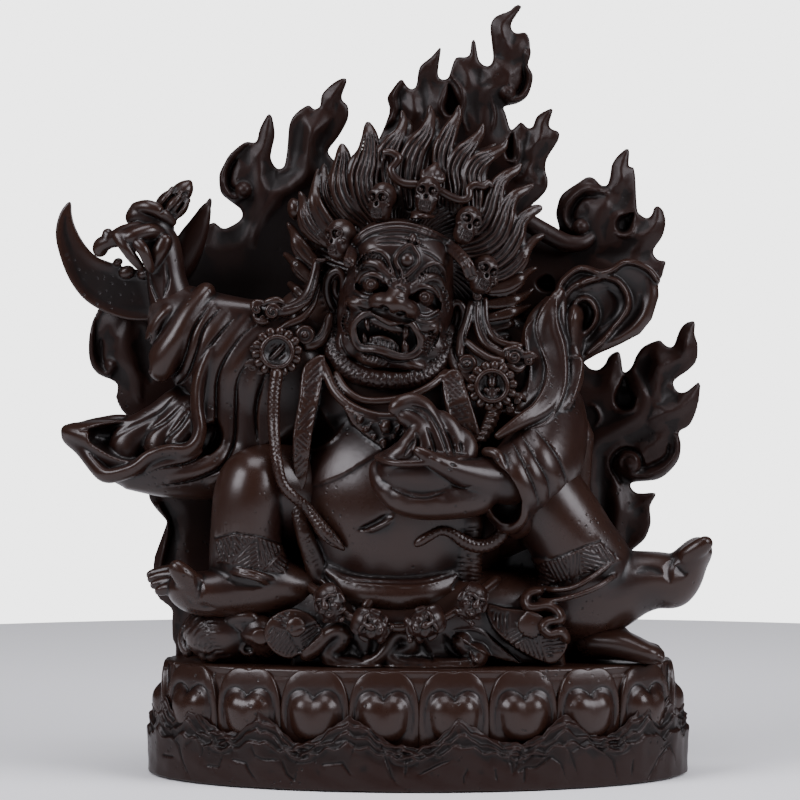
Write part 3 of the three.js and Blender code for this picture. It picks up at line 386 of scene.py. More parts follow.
for middle in (-50, -28.5, -3.5, 23.5, 50, 78, 104, 130, 156, 182, 208, 234):
    ring = np.hypot((crags.u[:, None] - middle) / 4.6,
        (crags.v[None, :] - np.interp(middle, crest_s, crest_z) + 2.6) / 2.5)
    crags.height += 0.3 * np.cos(ring * 11) * (1 - eased(ring, 0.7, 1))
front_s = np.linspace(-92, 92, 401)
front_x, front_y, _, _ = round_oval(BASE_HALF_WIDTH, BASE_HALF_DEPTH, (front_s / rock_length) % 1.0)
cracks = []
for crack in ROCK_CRACKS:
    line = np.array(drawn(*crack))
    s = np.interp(line[:, 0], EYE_X + (front_x - EYE_X) / (1 + front_y / EYE_DISTANCE), front_s)
    z = EYE_Z + (line[:, 1] - EYE_Z) * (1 + np.interp(s, front_s, front_y) / EYE_DISTANCE)
    cracks += [np.column_stack([s, z]), np.column_stack([s + rock_length / 2, z])]
crags.press(cracks, 0.75, 0.3, (0.6, 0.3), 0)
crags.press(cracks, 0.42, -0.75, (0.8, 0.3), 0)
crags.height = np.minimum(crags.height, ROCK_REACH)
u, v = crags.u[:, None], crags.v[None, :]
crags.height += 0.1 * np.sin(u * 0.8 + v * 0.5) * np.sin(v * 0.7 - u * 0.31)

around = s_low + (s_high - s_low) * np.arange(ROCKS_AROUND) / ROCKS_AROUND
share = (around / rock_length) % 1.0
oval_x, oval_y, facing, _ = round_oval(BASE_HALF_WIDTH, BASE_HALF_DEPTH, share)
crest = np.interp(around, crags.u, fine_crest)
rows = []
for t in np.concatenate([[0.0], np.linspace(0.02, 1, ROCKS_UP)]):
    z = crest * t
    out = crags.at(around, z) - ROCK_REACH - ROCK_LEAN * (z / 20.0) ** 1.5
    if t == 0.0:
        z = z * 0
    tuck = 0.5 * (1 - eased(z, 0, 0.7))
    rows.append((np.minimum(out, -0.05) - tuck, z))
for drop, inset in ((0.0, 0.45), (1.2, 0.9), (1.0, 2.2), (None, ROCK_INNER_INSET)):
    z = np.full_like(crest, ROCK_FLOOR - 1.5) if drop is None else crest - drop
    rows.append((rows[ROCKS_UP][0] - inset if drop is not None else np.full_like(crest,
        -ROCK_INNER_INSET - ROCK_REACH), z))
rings = [np.column_stack([oval_x + out * np.sin(facing), oval_y - out * np.cos(facing), z]) for out, z in rows]
middle = np.array([[0, 0, ROCK_FLOOR - 1.5], [0, 0, 0]])
points = np.vstack(rings + [middle])
k = np.arange(ROCKS_AROUND)
after = (k + 1) % ROCKS_AROUND
quads = np.vstack([np.column_stack([j * ROCKS_AROUND + k, j * ROCKS_AROUND + after, (j + 1) * ROCKS_AROUND + after,
                                    (j + 1) * ROCKS_AROUND + k]) for j in range(len(rings) - 1)])
top, bottom = len(points) - 2, len(points) - 1
caps = np.vstack([np.column_stack([(len(rings) - 1) * ROCKS_AROUND + k, (len(rings) - 1) * ROCKS_AROUND + after,
                                   np.full_like(k, top)]), np.column_stack([after, k, np.full_like(k, bottom)])])
# The rocks take a copy of the resin with its body colour at 0.62: painted shade, darkening the base that the floor's
# light leaves brighter than the figure.
rock_painted_shade_resin = brown_resin("rock_painted_shade_resin", RESIN_PITS_AND_SHADE, tuple(0.62 * c for c in RESIN_BODY[:3]) + (1,), RESIN_BODY,
    0.42, 0.2)
cast("rock_base", mesh_of("rock_base", points, [caps, quads]), most=50000, finish=rock_painted_shade_resin)

# The lotus: an oval drum ringed by broad petals, each an arch with a raised rim round a heart-topped boss, with
# the tips of a hidden row between them. One model petal repeats round the drum, as it does in the mould.
FAR = 6.0
LOTUS_TOP = 28.5
LOTUS_HALF_WIDTH, LOTUS_HALF_DEPTH = 65.0, 34.0
LOTUS_INSET = 3.6
PETAL_COUNT = 18
PETAL_FOOT = 9.6


class Clay:
    """Clay on a grid, held as the distance to its surface in millimetres. Axes: right, back, up."""

    def __init__(self, low, high, step):
        self.step = step * 1.0
        self.low = np.array(low, dtype=float)
        count = [int(math.ceil((b - a) / self.step)) + 1 for a, b in zip(low, high)]
        self.places = [(a + self.step * np.arange(n)).astype(np.float32) for a, n in zip(low, count)]
        self.field = np.full(count, FAR, dtype=np.float32)
        self.face = Relief((low[0], low[2]), (high[0], high[2]), self.step)
        self.face.shape = (count[0], count[2])
        self.face.u, self.face.v = self.places[0], self.places[2]
        self.face.height = np.zeros(self.face.shape, dtype=np.float32)

    def window(self, low, high):
        spans = [slice(int(np.clip((l - a) / self.step, 0, n)), int(np.clip((h - a) / self.step + 2, 0, n)))
                 for l, h, a, n in zip(low, high, self.low, self.field.shape)]
        grids = [p[s].reshape([-1 if i == j else 1 for j in range(3)])
            for i, (p, s) in enumerate(zip(self.places, spans))]
        return tuple(spans), grids

    def add(self, spans, distance, blend=0.0, cut=False):
        """Adds a form to the clay, or cuts it out, with a soft seam of the blend's width."""
        old = self.field[spans]
        if cut:
            distance = -distance
            new = np.maximum(old, distance)
        else:
            new = np.minimum(old, distance)
        if blend > 0:
            overlap = np.clip(blend - np.abs(old - distance), 0, None) ** 2 / (4 * blend)
            new = new + overlap if cut else new - overlap
        self.field[spans] = new

    def limb(self, stations, blend=1.2, steps=5, cut=False):
        """A tapering round form through stations of right, up, back, half width and half depth."""
        s = np.array([list(p) + [p[3]] if len(p) == 4 else list(p) for p in stations], dtype=float)
        s = smooth_path(s, steps) if steps else s
        spare = blend + 1.2
        for a, b in zip(s[:-1], s[1:]):
            a3, b3 = np.array([a[0], a[2], a[1]]), np.array([b[0], b[2], b[1]])
            reach = max(a[3], b[3], a[4], b[4]) + spare
            spans, (x, y, z) = self.window(np.minimum(a3, b3) - reach, np.maximum(a3, b3) + reach)
            span = b3 - a3
            long = max(float(span @ span), 1e-6)
            t = np.clip(((x - a3[0]) * span[0] + (y - a3[1]) * span[1] + (z - a3[2]) * span[2]) / long, 0, 1)
            wide = np.maximum(a[3] + t * (b[3] - a[3]), 0.05)
            deep = np.maximum(a[4] + t * (b[4] - a[4]), 0.05)
            dx, dz = x - a3[0] - t * span[0], z - a3[2] - t * span[2]
            dy = (y - a3[1] - t * span[1]) * (wide / deep)
            distance = (np.sqrt(dx * dx + dy * dy + dz * dz) - wide) * np.minimum(1, deep / wide) ** 0.5
            self.add(spans, distance.astype(np.float32), blend, cut)

    def limbs(self, paths, blend=1.2, steps=5, cut=False):
        """Limbs whose stations are given on the sketch."""
        for path in paths:
            self.limb(drawn(*path), blend, steps, cut)

    def lump(self, centre, radii, turn=0.0, blend=1.2, cut=False):
        """An egg at right, up, back with radii right, up, back, turned in the front drawing."""
        cx, cz, cy = centre
        rx, rz, ry = radii
        reach = max(rx, rz) + blend + 1.2
        spans, (x, y, z) = self.window((cx - reach, cy - ry - blend - 1.2, cz - reach),
            (cx + reach, cy + ry + blend + 1.2, cz + reach))
        c, s = math.cos(turn), math.sin(turn)
        right, up = (x - cx) * c - (z - cz) * s, (x - cx) * s + (z - cz) * c
        k0 = np.sqrt((right / rx) ** 2 + (up / rz) ** 2 + ((y - cy) / ry) ** 2)
        k1 = np.sqrt((right / rx**2) ** 2 + (up / rz**2) ** 2 + ((y - cy) / ry**2) ** 2)
        self.add(spans, (k0 * (k0 - 1) / np.maximum(k1, 1e-6)).astype(np.float32), blend, cut)

    def egg(self, u, v, back, radii, turn=0.0, blend=1.2, cut=False):
        """A lump whose place is given on the sketch."""
        a, b = drawn((u, v))[0]
        self.lump((a, b, back), radii, turn, blend, cut)

    def ring(self, centre, back, radius, thick, blend=0.2, count=17):
        """A thin ring that faces the front."""
        (a, b), turns = centre, np.linspace(0, 2 * math.pi, count)
        self.limb([(a + radius * math.cos(t), b + radius * math.sin(t), back, *thick) for t in turns], blend, 0)

    def lines(self, paths, width, height, ends=(0.4, 0.4), steps=5):
        """Presses lines given on the sketch into the face."""
        self.face.press([drawn(*path) for path in paths], width, height, ends, steps)

    def hatch(self, patches, gap, width, height):
        """Patches of parallel lines, each the angle of its lines and then its corners on the sketch."""
        lines = [line for angle, *corners in patches for line in hatched(drawn(*corners), angle, gap)]
        self.face.press(lines, width, height, (1, 1), 1)

    def seat(self, places, proud=0.0):
        """Gives each place on the drawing the depth of the clay's front there, less what it stands proud."""
        seated = []
        for a, b, *rest in places:
            i, k = [int(np.clip(round((v - low) / self.step), 0, n - 1)) for v, low, n in
                    zip((a, b), (self.low[0], self.low[2]), (self.field.shape[0], self.field.shape[2]))]
            seated.append((a, b, float(self.places[1][int(np.argmax(self.field[i, :, k] < 0))]) - proud, *rest))
        return seated

    def sheet(self, outline, back, front, rounding=0.8, blend=0.6, cut=False):
        """A sheet cut to an outline in the front drawing. back and front are places, or maps of them."""
        flat = self.face.signed(np.asarray(outline, dtype=float), FAR)
        y = self.places[1][None, :, None]
        back, front = [np.asarray(m, dtype=np.float32) for m in (back, front)]
        back, front = [m[:, None, :] if m.ndim else m for m in (back, front)]
        inside = flat[:, None, :] + rounding
        within = np.maximum(front - y, y - back) + rounding
        distance = np.hypot(np.maximum(inside, 0), np.maximum(within, 0)) + np.minimum(np.maximum(inside, within),
            0) - rounding
        self.add((slice(None),) * 3, distance.astype(np.float32), blend, cut)

    def carve(self, front, back):
        """Works the lines drawn on the face into the clay, in full before front and fading out to back."""
        share = 1 - eased(self.places[1], front, back)
        self.field -= self.face.height[:, None, :] * share[None, :, None].astype(np.float32)
        self.face.height[:] = 0

    def mesh(self, name, in_place=None):
        """The clay's skin. in_place moves points from the front drawing to where they really are."""
        skin = self.field
        for i in range(3):
            edge = [slice(None)] * 3
            for side in (0, -1):
                edge[i] = side
                skin[tuple(edge)] = np.maximum(skin[tuple(edge)], self.step)
        grid = openvdb.FloatGrid(background=FAR)
        grid.copyFromArray(np.ascontiguousarray(np.clip(skin, -FAR, FAR)))
        points, triangles, quads = grid.convertToPolygons(isovalue=0.0, adaptivity=0.0)
        points = points * self.step + self.low
        if in_place:
            points = in_place(points)
        return mesh_of(name, points, [quads, triangles])

    def cast(self, name, most, rounds=9, finish=None):
        """Casts the clay as a piece, moved from the front drawing to where it really is."""
        return cast(name, self.mesh(name, in_depth), most, rounds, finish)

    def as_model(self, name, ratio):
        """The clay as an object for repeating, with a share of its faces."""
        model = bpy.data.objects.new(name, self.mesh(name))
        bpy.context.collection.objects.link(model)
        model.modifiers.new("thin", "DECIMATE").ratio = ratio
        return model


DRUM_BOX = ((-66, -35, 7), (66, 35, 30))
drum = Clay(*DRUM_BOX, step=0.5)
x, y, z = drum.window(*DRUM_BOX)[1]
wall = LOTUS_INSET - 1.4 * eased(z, 10, 26)
oval = np.hypot(x / (LOTUS_HALF_WIDTH - wall), y / (LOTUS_HALF_DEPTH - wall))
slope = np.hypot(x / (LOTUS_HALF_WIDTH - wall) ** 2, y / (LOTUS_HALF_DEPTH - wall) ** 2) / np.maximum(oval, 0.01)
side = (oval - 1) / np.maximum(slope, 0.004)
side = side + 0.35 * np.exp(-((z - LOTUS_TOP + 1.9) / 0.5) ** 2)
drum.field[:] = np.maximum(np.maximum(side, z - LOTUS_TOP + 0.1), 8.2 - z)
cast("lotus_drum", drum.mesh("lotus_drum"), most=6000)

_, _, _, lotus_length = round_oval(LOTUS_HALF_WIDTH - LOTUS_INSET, LOTUS_HALF_DEPTH - LOTUS_INSET, [0.0])
half = lotus_length / PETAL_COUNT / 2
petal = Clay((-half - 1.2, -6.4, PETAL_FOOT - 1), (half + 1.2, 3.2, LOTUS_TOP + 1), step=0.3)
arch = [(-half, PETAL_FOOT), (-half * 1.02, 17), (-half * 0.97, 21.5), (-half * 0.8, 25.6), (-half * 0.5, 27.9),
    (-half * 0.16, 28.1), (0, 27.7), (half * 0.16, 28.1), (half * 0.5, 27.9), (half * 0.8, 25.6), (half * 0.97, 21.5),
    (half * 1.02, 17), (half, PETAL_FOOT)]
tip = [(-half * 1.1, 20), (-half * 1.12, 28.2), (-half * 0.5, 28.2), (half * 0.5, 28.2), (half * 1.12, 28.2),
    (half * 1.1, 20)]
across, up = petal.face.u[:, None], petal.face.v[None, :]
belly = -0.4 - 2.2 * np.sqrt(np.clip(1 - ((up - 19.5) / 10.5) ** 2, 0, 1)) + 0.8 * (np.abs(across) / half) ** 4
petal.sheet(tip, 3.0, belly + 1.5 + 0 * across, 0.5, 0)
petal.sheet(smooth_path(arch, 4), 3.0, belly, 0.6, 0.2)
petal.lump((0, 16.6, -1.2), (half * 0.72, 5.6, 3.7), 0, 0.5)
for side in (-1, 1):
    petal.lump((side * half * 0.27, 18.7, -1.2), (half * 0.45, 3.9, 3.6), side * 0.1, 0.9)
petal.face.press([smooth_path(arch, 4)], 0.5, 0.22, (1, 1), 0)
petal.face.press([[(side * half * x, z) for x, z in ((0.8, 13), (0.84, 18), (0.72, 22.2), (0.42, 23.7), (0.14, 22.8),
    (0, 21.4))] for side in (-1, 1)], 0.45, -0.35, (0.3, 0.8))
petal.face.press([[(side * half * 0.98, 27.0), (side * half, 23)] for side in (-1, 1)], 0.5, -0.5)
petal.carve(0.5, 2.0)
shares = (np.arange(PETAL_COUNT) + 0.5) / PETAL_COUNT
px, py, turns, _ = round_oval(LOTUS_HALF_WIDTH - LOTUS_INSET, LOTUS_HALF_DEPTH - LOTUS_INSET, shares)


def repeated(name, model, spots, **own):
    """Repeats a model at every spot, turned by the spot's own turn and lean and grown by its growth, as plain mesh."""
    places = bpy.data.meshes.new(name + "_places")
    places.from_pydata([tuple(float(c) * MM for c in spot) for spot in spots], [], [])
    for title, values in own.items():
        places.attributes.new(title, "FLOAT", "POINT").data.foreach_set("value", np.array(values, dtype=np.float32))
    tree = bpy.data.node_groups.new(name, "GeometryNodeTree")
    for title, kind, way in (("Places", "NodeSocketGeometry", "INPUT"), ("Model", "NodeSocketObject", "INPUT"),
                             ("Model size", "NodeSocketFloat", "INPUT"), ("Resin", "NodeSocketMaterial", "INPUT"),
                             ("Casting", "NodeSocketGeometry", "OUTPUT")):
        tree.interface.new_socket(title, in_out=way, socket_type=kind)
    start = tree.nodes.new("NodeGroupInput")
    given = {socket.name: Finish(tree, socket) for socket in start.outputs}
    build = Finish(tree)
    model_shape = build.node("GeometryNodeObjectInfo", values={"Object": given["Model"]}, outlet=4)
    turn = build.node("GeometryNodeInputNamedAttribute", {"data_type": "FLOAT"}, {"Name": "turn"})
    lean = build.node("GeometryNodeInputNamedAttribute", {"data_type": "FLOAT"}, {"Name": "lean"})
    growth = build.node("GeometryNodeInputNamedAttribute", {"data_type": "FLOAT"}, {"Name": "growth"})
    facing = build.node("ShaderNodeCombineXYZ", values={"Y": lean, "Z": turn})
    copies = build.node("GeometryNodeInstanceOnPoints", values={ "Points": given["Places"], "Instance": model_shape,
        "Rotation": facing, "Scale": given["Model size"] * (1 + growth)})
    solid = build.node("GeometryNodeRealizeInstances", values={"Geometry": copies})
    coloured = build.node("GeometryNodeSetMaterial", values={"Geometry": solid, "Material": given["Resin"]})
    build.node("NodeGroupOutput", values={"Casting": coloured})
    holder = bpy.data.objects.new(name, places)
    bpy.context.collection.objects.link(holder)
    nodes = holder.modifiers.new(name, "NODES")
    nodes.node_group = tree
    sockets = {item.name: item.identifier for item in tree.interface.items_tree if item.in_out == "INPUT"}
    nodes[sockets["Model"]] = model
    nodes[sockets["Model size"]] = 1.0
    nodes[sockets["Resin"]] = resin
    seen = bpy.context.evaluated_depsgraph_get()
    done = bpy.data.meshes.new_from_object(holder.evaluated_get(seen), depsgraph=seen)
    holder.modifiers.clear()
    bpy.data.objects.remove(holder)
    bpy.data.objects.remove(model)
    return done


petal_spots = np.column_stack([px, py, np.zeros(PETAL_COUNT)])
cast("lotus_petals", repeated("lotus_petals", petal.as_model("model_petal", 0.42), petal_spots, turn=turns),
    most=45000, rounds=6)

# The halo of flames: one thick sheet behind the figure, cast with it. Its tongues bend in slow waves, roll over
# at some edges into curls that end in a ball, and leave teardrop hollows where two tongues part.
HALO_MIDDLE = 9.2
HALO_HALF = 3.3
FLAME_ADVANCE = 4.4


def in_depth(points):
    """Moves points from the front drawing, as one eye sees it, to where they really are."""
    scale = 1 + points[:, 1] / EYE_DISTANCE
    return np.column_stack([EYE_X + (points[:, 0] - EYE_X) * scale, points[:, 1],
        EYE_Z + (points[:, 2] - EYE_Z) * scale])


FLAME_OUTLINE = drawn(
    (176, 668), (175, 646), (172, 639), (171, 620), (171, 609), (159, 600), (154, 588), (153, 562), (159, 544),
    (166, 525), (165.5, 519.5), (153, 505), (148, 491), (150, 450), (126, 416), (120, 409), (115, 397), (116, 384),
    (97, 374), (89, 360), (89, 336), (95, 314), (108, 292), (150, 262), (174, 239), (196, 217), (209, 198), (212, 203),
    (208, 224), (214, 222), (222, 228), (229, 227), (241, 219), (241, 210), (231, 202), (221, 193), (219, 179),
    (220, 172), (224, 164), (230, 154), (245, 142), (256, 142), (260, 128), (270, 113), (275, 133), (272, 149),
    (271, 159), (277, 168), (284, 166), (287, 149), (289, 126), (295, 114), (308, 105), (314, 109), (320, 106),
    (322, 94), (333, 83), (343, 78), (347, 81), (342, 95), (343, 101), (348, 106), (348, 119), (339, 136), (329, 149),
    (329, 154), (334, 160), (346, 168), (372, 150), (389, 114), (387, 99), (391, 91), (401, 79), (406, 85), (411, 89),
    (416, 86), (418, 73), (421, 65), (431, 57), (441, 46), (441, 50), (438, 73), (441, 79), (446, 79), (449, 76),
    (453, 63), (457, 57), (466, 57), (470, 53), (471, 42), (474, 39), (476, 43), (479, 60), (486, 66), (491, 64),
    (493, 56), (490, 33), (490, 23), (496, 15), (509, 10), (516, 4), (523, 6), (519, 13), (512, 25), (516, 32),
    (526, 31), (531, 41), (531, 55), (528, 65), (533, 75), (531, 88), (526, 98), (516, 104), (504, 107), (506, 114),
    (510, 128), (513, 129), (521, 122), (528, 128), (533, 126), (537, 116), (549, 109), (553, 110), (549, 124),
    (552, 129), (559, 132), (558, 141), (547, 159), (546, 172), (548, 179), (547, 189), (539, 199), (533, 204),
    (526, 214), (530, 224), (546, 231), (556, 234), (559, 228), (556, 216), (557, 207), (562, 194), (579, 182),
    (587, 177), (594, 178), (601, 185), (607, 185), (610, 176), (612, 164), (619, 154), (627, 148), (630, 151),
    (629, 166), (635, 169), (637, 207), (640, 214), (647, 218), (652, 214), (654, 207), (659, 206), (664, 211),
    (666, 222), (663, 236), (654, 249), (654, 255), (659, 260), (666, 261), (664, 269), (660, 280), (640, 300),
    (600, 325), (582, 352), (587, 366), (597, 370), (605, 364), (609, 356), (618, 351), (621, 357), (623, 371),
    (626, 372), (632, 366), (636, 356), (644, 346), (659, 340), (663, 343), (669, 347), (674, 345), (679, 331),
    (685, 323), (694, 320), (696, 325), (695, 333), (699, 346), (697, 361), (689, 370), (675, 380), (674, 386),
    (679, 392), (687, 391), (700, 381), (700, 399), (695, 416), (689, 426), (680, 431), (679, 436), (681, 444),
    (679, 459), (669, 472), (656, 480), (631, 483), (637, 493), (656, 493), (650, 506), (651, 522), (647, 535),
    (642, 542), (628, 554), (624, 562), (604, 600), (580, 668), (530, 668), (430, 668), (330, 668), (240, 668),
    (195, 668),
)
halo = Clay((-86, -1, 24), (73, 14.6, 194), step=0.42)
across, up = halo.face.u[:, None], halo.face.v[None, :]
outward = np.hypot((across + 2) / 72, (up - 96) / 92)
middle = HALO_MIDDLE - FLAME_ADVANCE * eased(outward, 0.55, 1.05)
depth_inside = np.clip(-halo.face.signed(np.array(FLAME_OUTLINE), FAR), 0, None)
half = HALO_HALF * (0.36 + 0.64 * eased(depth_inside, 0, 6.5)) - 0.9 * eased(outward, 0.9, 1.06)
swell = halo.face
halo.lines((
    ((345, 79), (326, 110), (313, 134), (309, 156), (304, 175), (283, 188), (270, 204), (256, 227), (252, 244)),
    ((270, 118), (266, 140), (262, 160), (264, 185), (256, 210), (246, 238)),
    ((413, 90), (412, 104), (412, 120)), ((506, 60), (493, 72), (484, 81)), ((515, 8), (502, 28), (504, 52), (506, 60)),
    ((540, 134), (535, 151), (533, 164), (528, 175), (518, 180)), ((549, 112), (541, 128), (538, 150), (538, 175)),
    ((627, 152), (620, 176), (611, 194), (600, 210), (596, 226), (600, 244)),
    ((658, 209), (656, 226), (646, 240), (634, 250)),
    ((632, 370), (640, 387), (643, 400), (636, 416), (615, 430), (597, 441), (588, 460), (590, 500), (596, 540)),
    ((694, 322), (684, 346), (668, 362), (656, 383), (660, 400)), ((698, 386), (684, 402), (668, 410), (652, 420)),
    ((614, 477), (618, 496), (617, 514), (614, 532), (606, 549)),
    ((130, 318), (124, 345), (132, 372), (140, 400)), ((160, 500), (166, 540), (164, 575), (176, 620)),
), 3.2, 0.95)
halo.lines((
    ((267, 164), (278, 181), (291, 174)), ((238, 158), (231, 170), (232, 183)), ((247, 150), (246, 172), (238, 186)),
    ((300, 120), (297, 140), (292, 162)), ((334, 98), (328, 122), (320, 146)), ((400, 92), (403, 106), (404, 122)),
    ((428, 70), (426, 92), (424, 116)), ((470, 68), (480, 82), (476, 100), (478, 120)),
    ((500, 40), (508, 52), (512, 70)), ((519, 70), (520, 84), (516, 92)), ((528, 138), (525, 155), (522, 168)),
    ((545, 140), (541, 160), (540, 180)), ((585, 200), (577, 210), (580, 222)), ((622, 186), (620, 200), (612, 212)),
    ((640, 240), (622, 252), (600, 256)), ((650, 352), (646, 370), (650, 392)), ((680, 345), (672, 368), (664, 386)),
    ((680, 392), (668, 398), (660, 410)), ((660, 430), (640, 440), (622, 452)), ((668, 440), (660, 452), (644, 460)),
    ((603, 460), (604, 495), (603, 523), (597, 545)), ((640, 500), (632, 520), (628, 540)),
    ((108, 330), (106, 350), (112, 362)), ((142, 330), (146, 356), (150, 380)), ((172, 520), (174, 560), (180, 600)),
), 3.6, -0.85)
CURL_RIMS = (
    ((248, 141), (236, 150), (227, 163), (223, 177), (224, 188), (230, 196), (238, 197), (245, 192)),
    ((93, 316), (91, 338), (92, 358), (98, 370), (107, 374), (112, 366)),
    ((527, 52), (530, 64), (531, 76), (529, 88), (521, 98), (511, 100), (506, 93)),
    ((606, 192), (594, 189), (583, 189), (573, 197), (565, 208), (564, 220), (570, 229), (579, 228)),
    ((677, 436), (677, 452), (668, 466), (655, 474), (640, 477), (626, 472), (620, 462), (626, 454), (635, 456),
        (637, 464)),
    ((401, 82), (394, 96), (395, 110), (389, 121), (378, 127)),
    ((155, 592), (158, 570), (164, 548), (168, 526), (158, 506)),
)
halo.lines(CURL_RIMS, 1.5, 1.5, (0.7, 1))
halo.lines((
    ((236, 160), (230, 170), (229, 184), (235, 190), (240, 187)), ((101, 340), (101, 358), (106, 364)),
    ((523, 66), (524, 80), (518, 92), (512, 89)), ((596, 197), (582, 198), (574, 208), (572, 219), (576, 221)),
    ((669, 444), (666, 456), (655, 464), (643, 467), (640, 458), (634, 451), (622, 450), (613, 458), (612, 468),
        (620, 482)),
), 1, -1.4, (0.5, 0.7))
halo.lines((
    ((448, 80), (443, 96), (440, 107), (446, 119)),
    ((454, 64), (451, 74), (460, 86), (464, 101), (462, 116), (468, 134)),
    ((516, 134), (519, 152), (515, 162), (507, 161)), ((491, 98), (495, 115), (492, 132)),
    ((612, 408), (618, 412), (626, 412), (634, 408), (638, 396)), ((614, 232), (622, 236), (631, 234), (636, 224)),
    ((588, 404), (596, 408), (600, 418), (594, 428)),
), 0.8, 0.8, (0.3, 0.3))
TEAR_HOLLOWS = [drawn(*p) for p in (
    ((449, 82), (458, 96), (461, 106), (456, 115), (448, 116), (443, 108), (446, 95)),
    ((513, 131), (515, 146), (514, 158), (508, 160), (504, 150), (508, 138)),
    ((634, 212), (634, 222), (630, 231), (623, 234), (616, 230), (615, 222), (620, 215)),
    ((625, 374), (632, 388), (636, 399), (632, 408), (623, 411), (615, 406), (613, 396), (618, 384)),
    ((547, 274), (555, 282), (552, 292), (540, 291), (535, 282)),
)]
for hollow in TEAR_HOLLOWS:
    swell.raise_area(np.array(smooth_path(hollow, 4, closed=True)), 1.1, -3.6)
swell.height = np.maximum(swell.height, 1.0 - 1.9 * half)
waves = 0.12 * np.sin(across * 0.35 + up * 0.11) * np.sin(up * 0.29 - across * 0.08)
halo.sheet(smooth_path(FLAME_OUTLINE, 3, closed=True), middle + half * 0.9 + waves, middle - half - swell.height, 0.9,
    0)
swell.height[:] = 0
for u, v, size in ((243.5, 190, 2.1), (112, 365, 2), (507.5, 92, 2.1), (581, 227, 2.1), (631, 464, 2.4)):
    halo.egg(u, v, 4.6, (size, size, 2.6), 0, 0.5)
halo.limb(drawn((526, 221, 2, 2.2), (546, 233, 3, 2.3), (566, 243, 3.4, 2.2), (582, 243, 3.6, 1.8),
    (592, 236, 4.6, 1.2)), 0.4)
halo.limb(drawn((178, 268, 3, 3.4, 3), (190, 244, 2, 3.2, 2.4), (199, 226, 1.4, 2.2, 1.8), (207, 206, 1, 0.9)), 1)
ripple = 0.12 * np.sin(0.21 * across + 0.9 * np.sin(0.05 * up)) * np.sin(0.12 * up + 0.4 * np.sin(0.09 * across))
halo.field += (ripple[:, None, :] * eased(halo.places[1], 8, 12)[None, :, None]).astype(np.float32)
satin_resin = brown_resin("satin_resin", RESIN_PITS_AND_SHADE, RESIN_BODY, RESIN_BODY, 0.44, 0.2)
halo.cast("flame_halo", most=80000, finish=satin_resin)

# The lying body under the figure's feet: a head at the left, its hair in curls, and a shin and foot at the right,
# modelled in the same wax and cast with the rest.
FINE_STEP, BODY_STEP = 0.32, 0.42

victim = Clay((-66, -24, 24), (68, 6, 47), step=FINE_STEP)
victim.lump((-49, 34.3, -11.5), (9.8, 7.4, 8.8), 0.12)
victim.limb(drawn((252, 628, -17, 3.4, 3.2), (262, 634, -19, 3.6, 3.4), (266, 644, -17, 3.4, 3.4)), 1.4)
victim.limb(drawn((228, 622, -17.6, 1.7, 1.4), (240, 617, -19.4, 1.5, 1.6), (252, 617, -20, 1.4, 1.6)), 0.8)
victim.limb(drawn((246, 634, -19, 1.2, 1.3), (256, 636, -21.6, 1.5, 1.7), (262, 637, -22.6, 1.8, 1.9)), 0.9)
victim.egg(243, 625.5, -19.4, (2.4, 1.25, 1.2), 0.08, 0.3)
victim.limb(drawn((236, 626, -19.2, 0.35), (243, 621.8, -20.4, 0.45), (250, 624.6, -20, 0.35)), 0.2)
victim.limb(drawn((237, 627, -19.4, 0.35), (243, 629.6, -20.2, 0.4), (250, 626.4, -20, 0.35)), 0.2)
victim.egg(248, 649, -17.6, (2.4, 2, 1.6), 0.3, 0.3)
victim.egg(248, 649, -19.2, (1.3, 1.1, 1.2), 0.3, 0.3, cut=True)
curls = [drawn(*p) for p in (
    ((222, 616, -15), (208, 613, -12), (196, 617, -9), (188, 626, -7)),
    ((221, 622, -17), (208, 620, -14), (197, 626, -11), (191, 636, -9)),
    ((218, 630, -18), (206, 628, -16), (197, 634, -13), (194, 644, -11)),
    ((219, 638, -18), (208, 636, -17), (200, 641, -15), (199, 650, -13)),
    ((222, 646, -17), (212, 645, -17), (205, 649, -15), (205, 656, -14)),
    ((228, 652, -16), (218, 653, -16), (212, 657, -15)),
    ((214, 618, -14), (206, 624, -16), (210, 630, -17), (216, 627, -18)),
    ((204, 638, -15), (211, 642, -17), (208, 648, -17), (201, 645, -15)),
    ((196, 622, -9), (186, 630, -7), (184, 642, -7), (188, 652, -8)),
    ((236, 655, -14), (225, 658, -14), (216, 659, -13)),
)]
for curl in curls:
    victim.limb([(*p, 1.45) for p in curl], 0.25, 6)
victim.face.press([[(a + dx, b + dz) for a, b, _ in curl] for curl in curls
    for dx, dz in ((-0.5, 0.5), (0.45, -0.45))], 0.34, -0.3)
victim.carve(-2, 2)
victim.limb(drawn((300, 648, -8, 5, 5), (270, 650, -10, 4.4, 4.6), (258, 652, -12, 3.6, 4)), 1.5)
victim.limb(drawn((554, 639, -6, 6, 6), (596, 636, -9, 4.6, 4.6), (618, 642, -12, 3.6, 3.8)), 1.5)
victim.limb(drawn((586, 643, -12, 3.4, 4), (620, 645, -14.4, 3.2, 4.4), (644, 652, -16, 2.2, 4.2),
    (656, 655, -16.5, 1.4, 3.2)), 1.5)
for k, (u, v) in enumerate(((656, 648), (658, 650.5), (660, 653), (660.5, 655.5), (660, 658))):
    victim.limb(drawn((u - 18, v - 3 + k * 0.4, -12 - 1.5 * k, 1.1), (u - 6, v - 1.4, -12.6 - 1.7 * k, 1.05),
        (u + 1, v + 0.6, -12.8 - 1.8 * k, 0.95)), 0.3)
victim.cast("lying_body", most=30000)

# The seat: the hem of the robe pooled on the lotus between the legs, folded over and back on itself, with two
# patterned apron leaves hanging to the stone. Modelled cloth, a few millimetres thick, one with the casting.
seat = Clay((-48, -30, 24), (54, 8, 56), step=FINE_STEP)


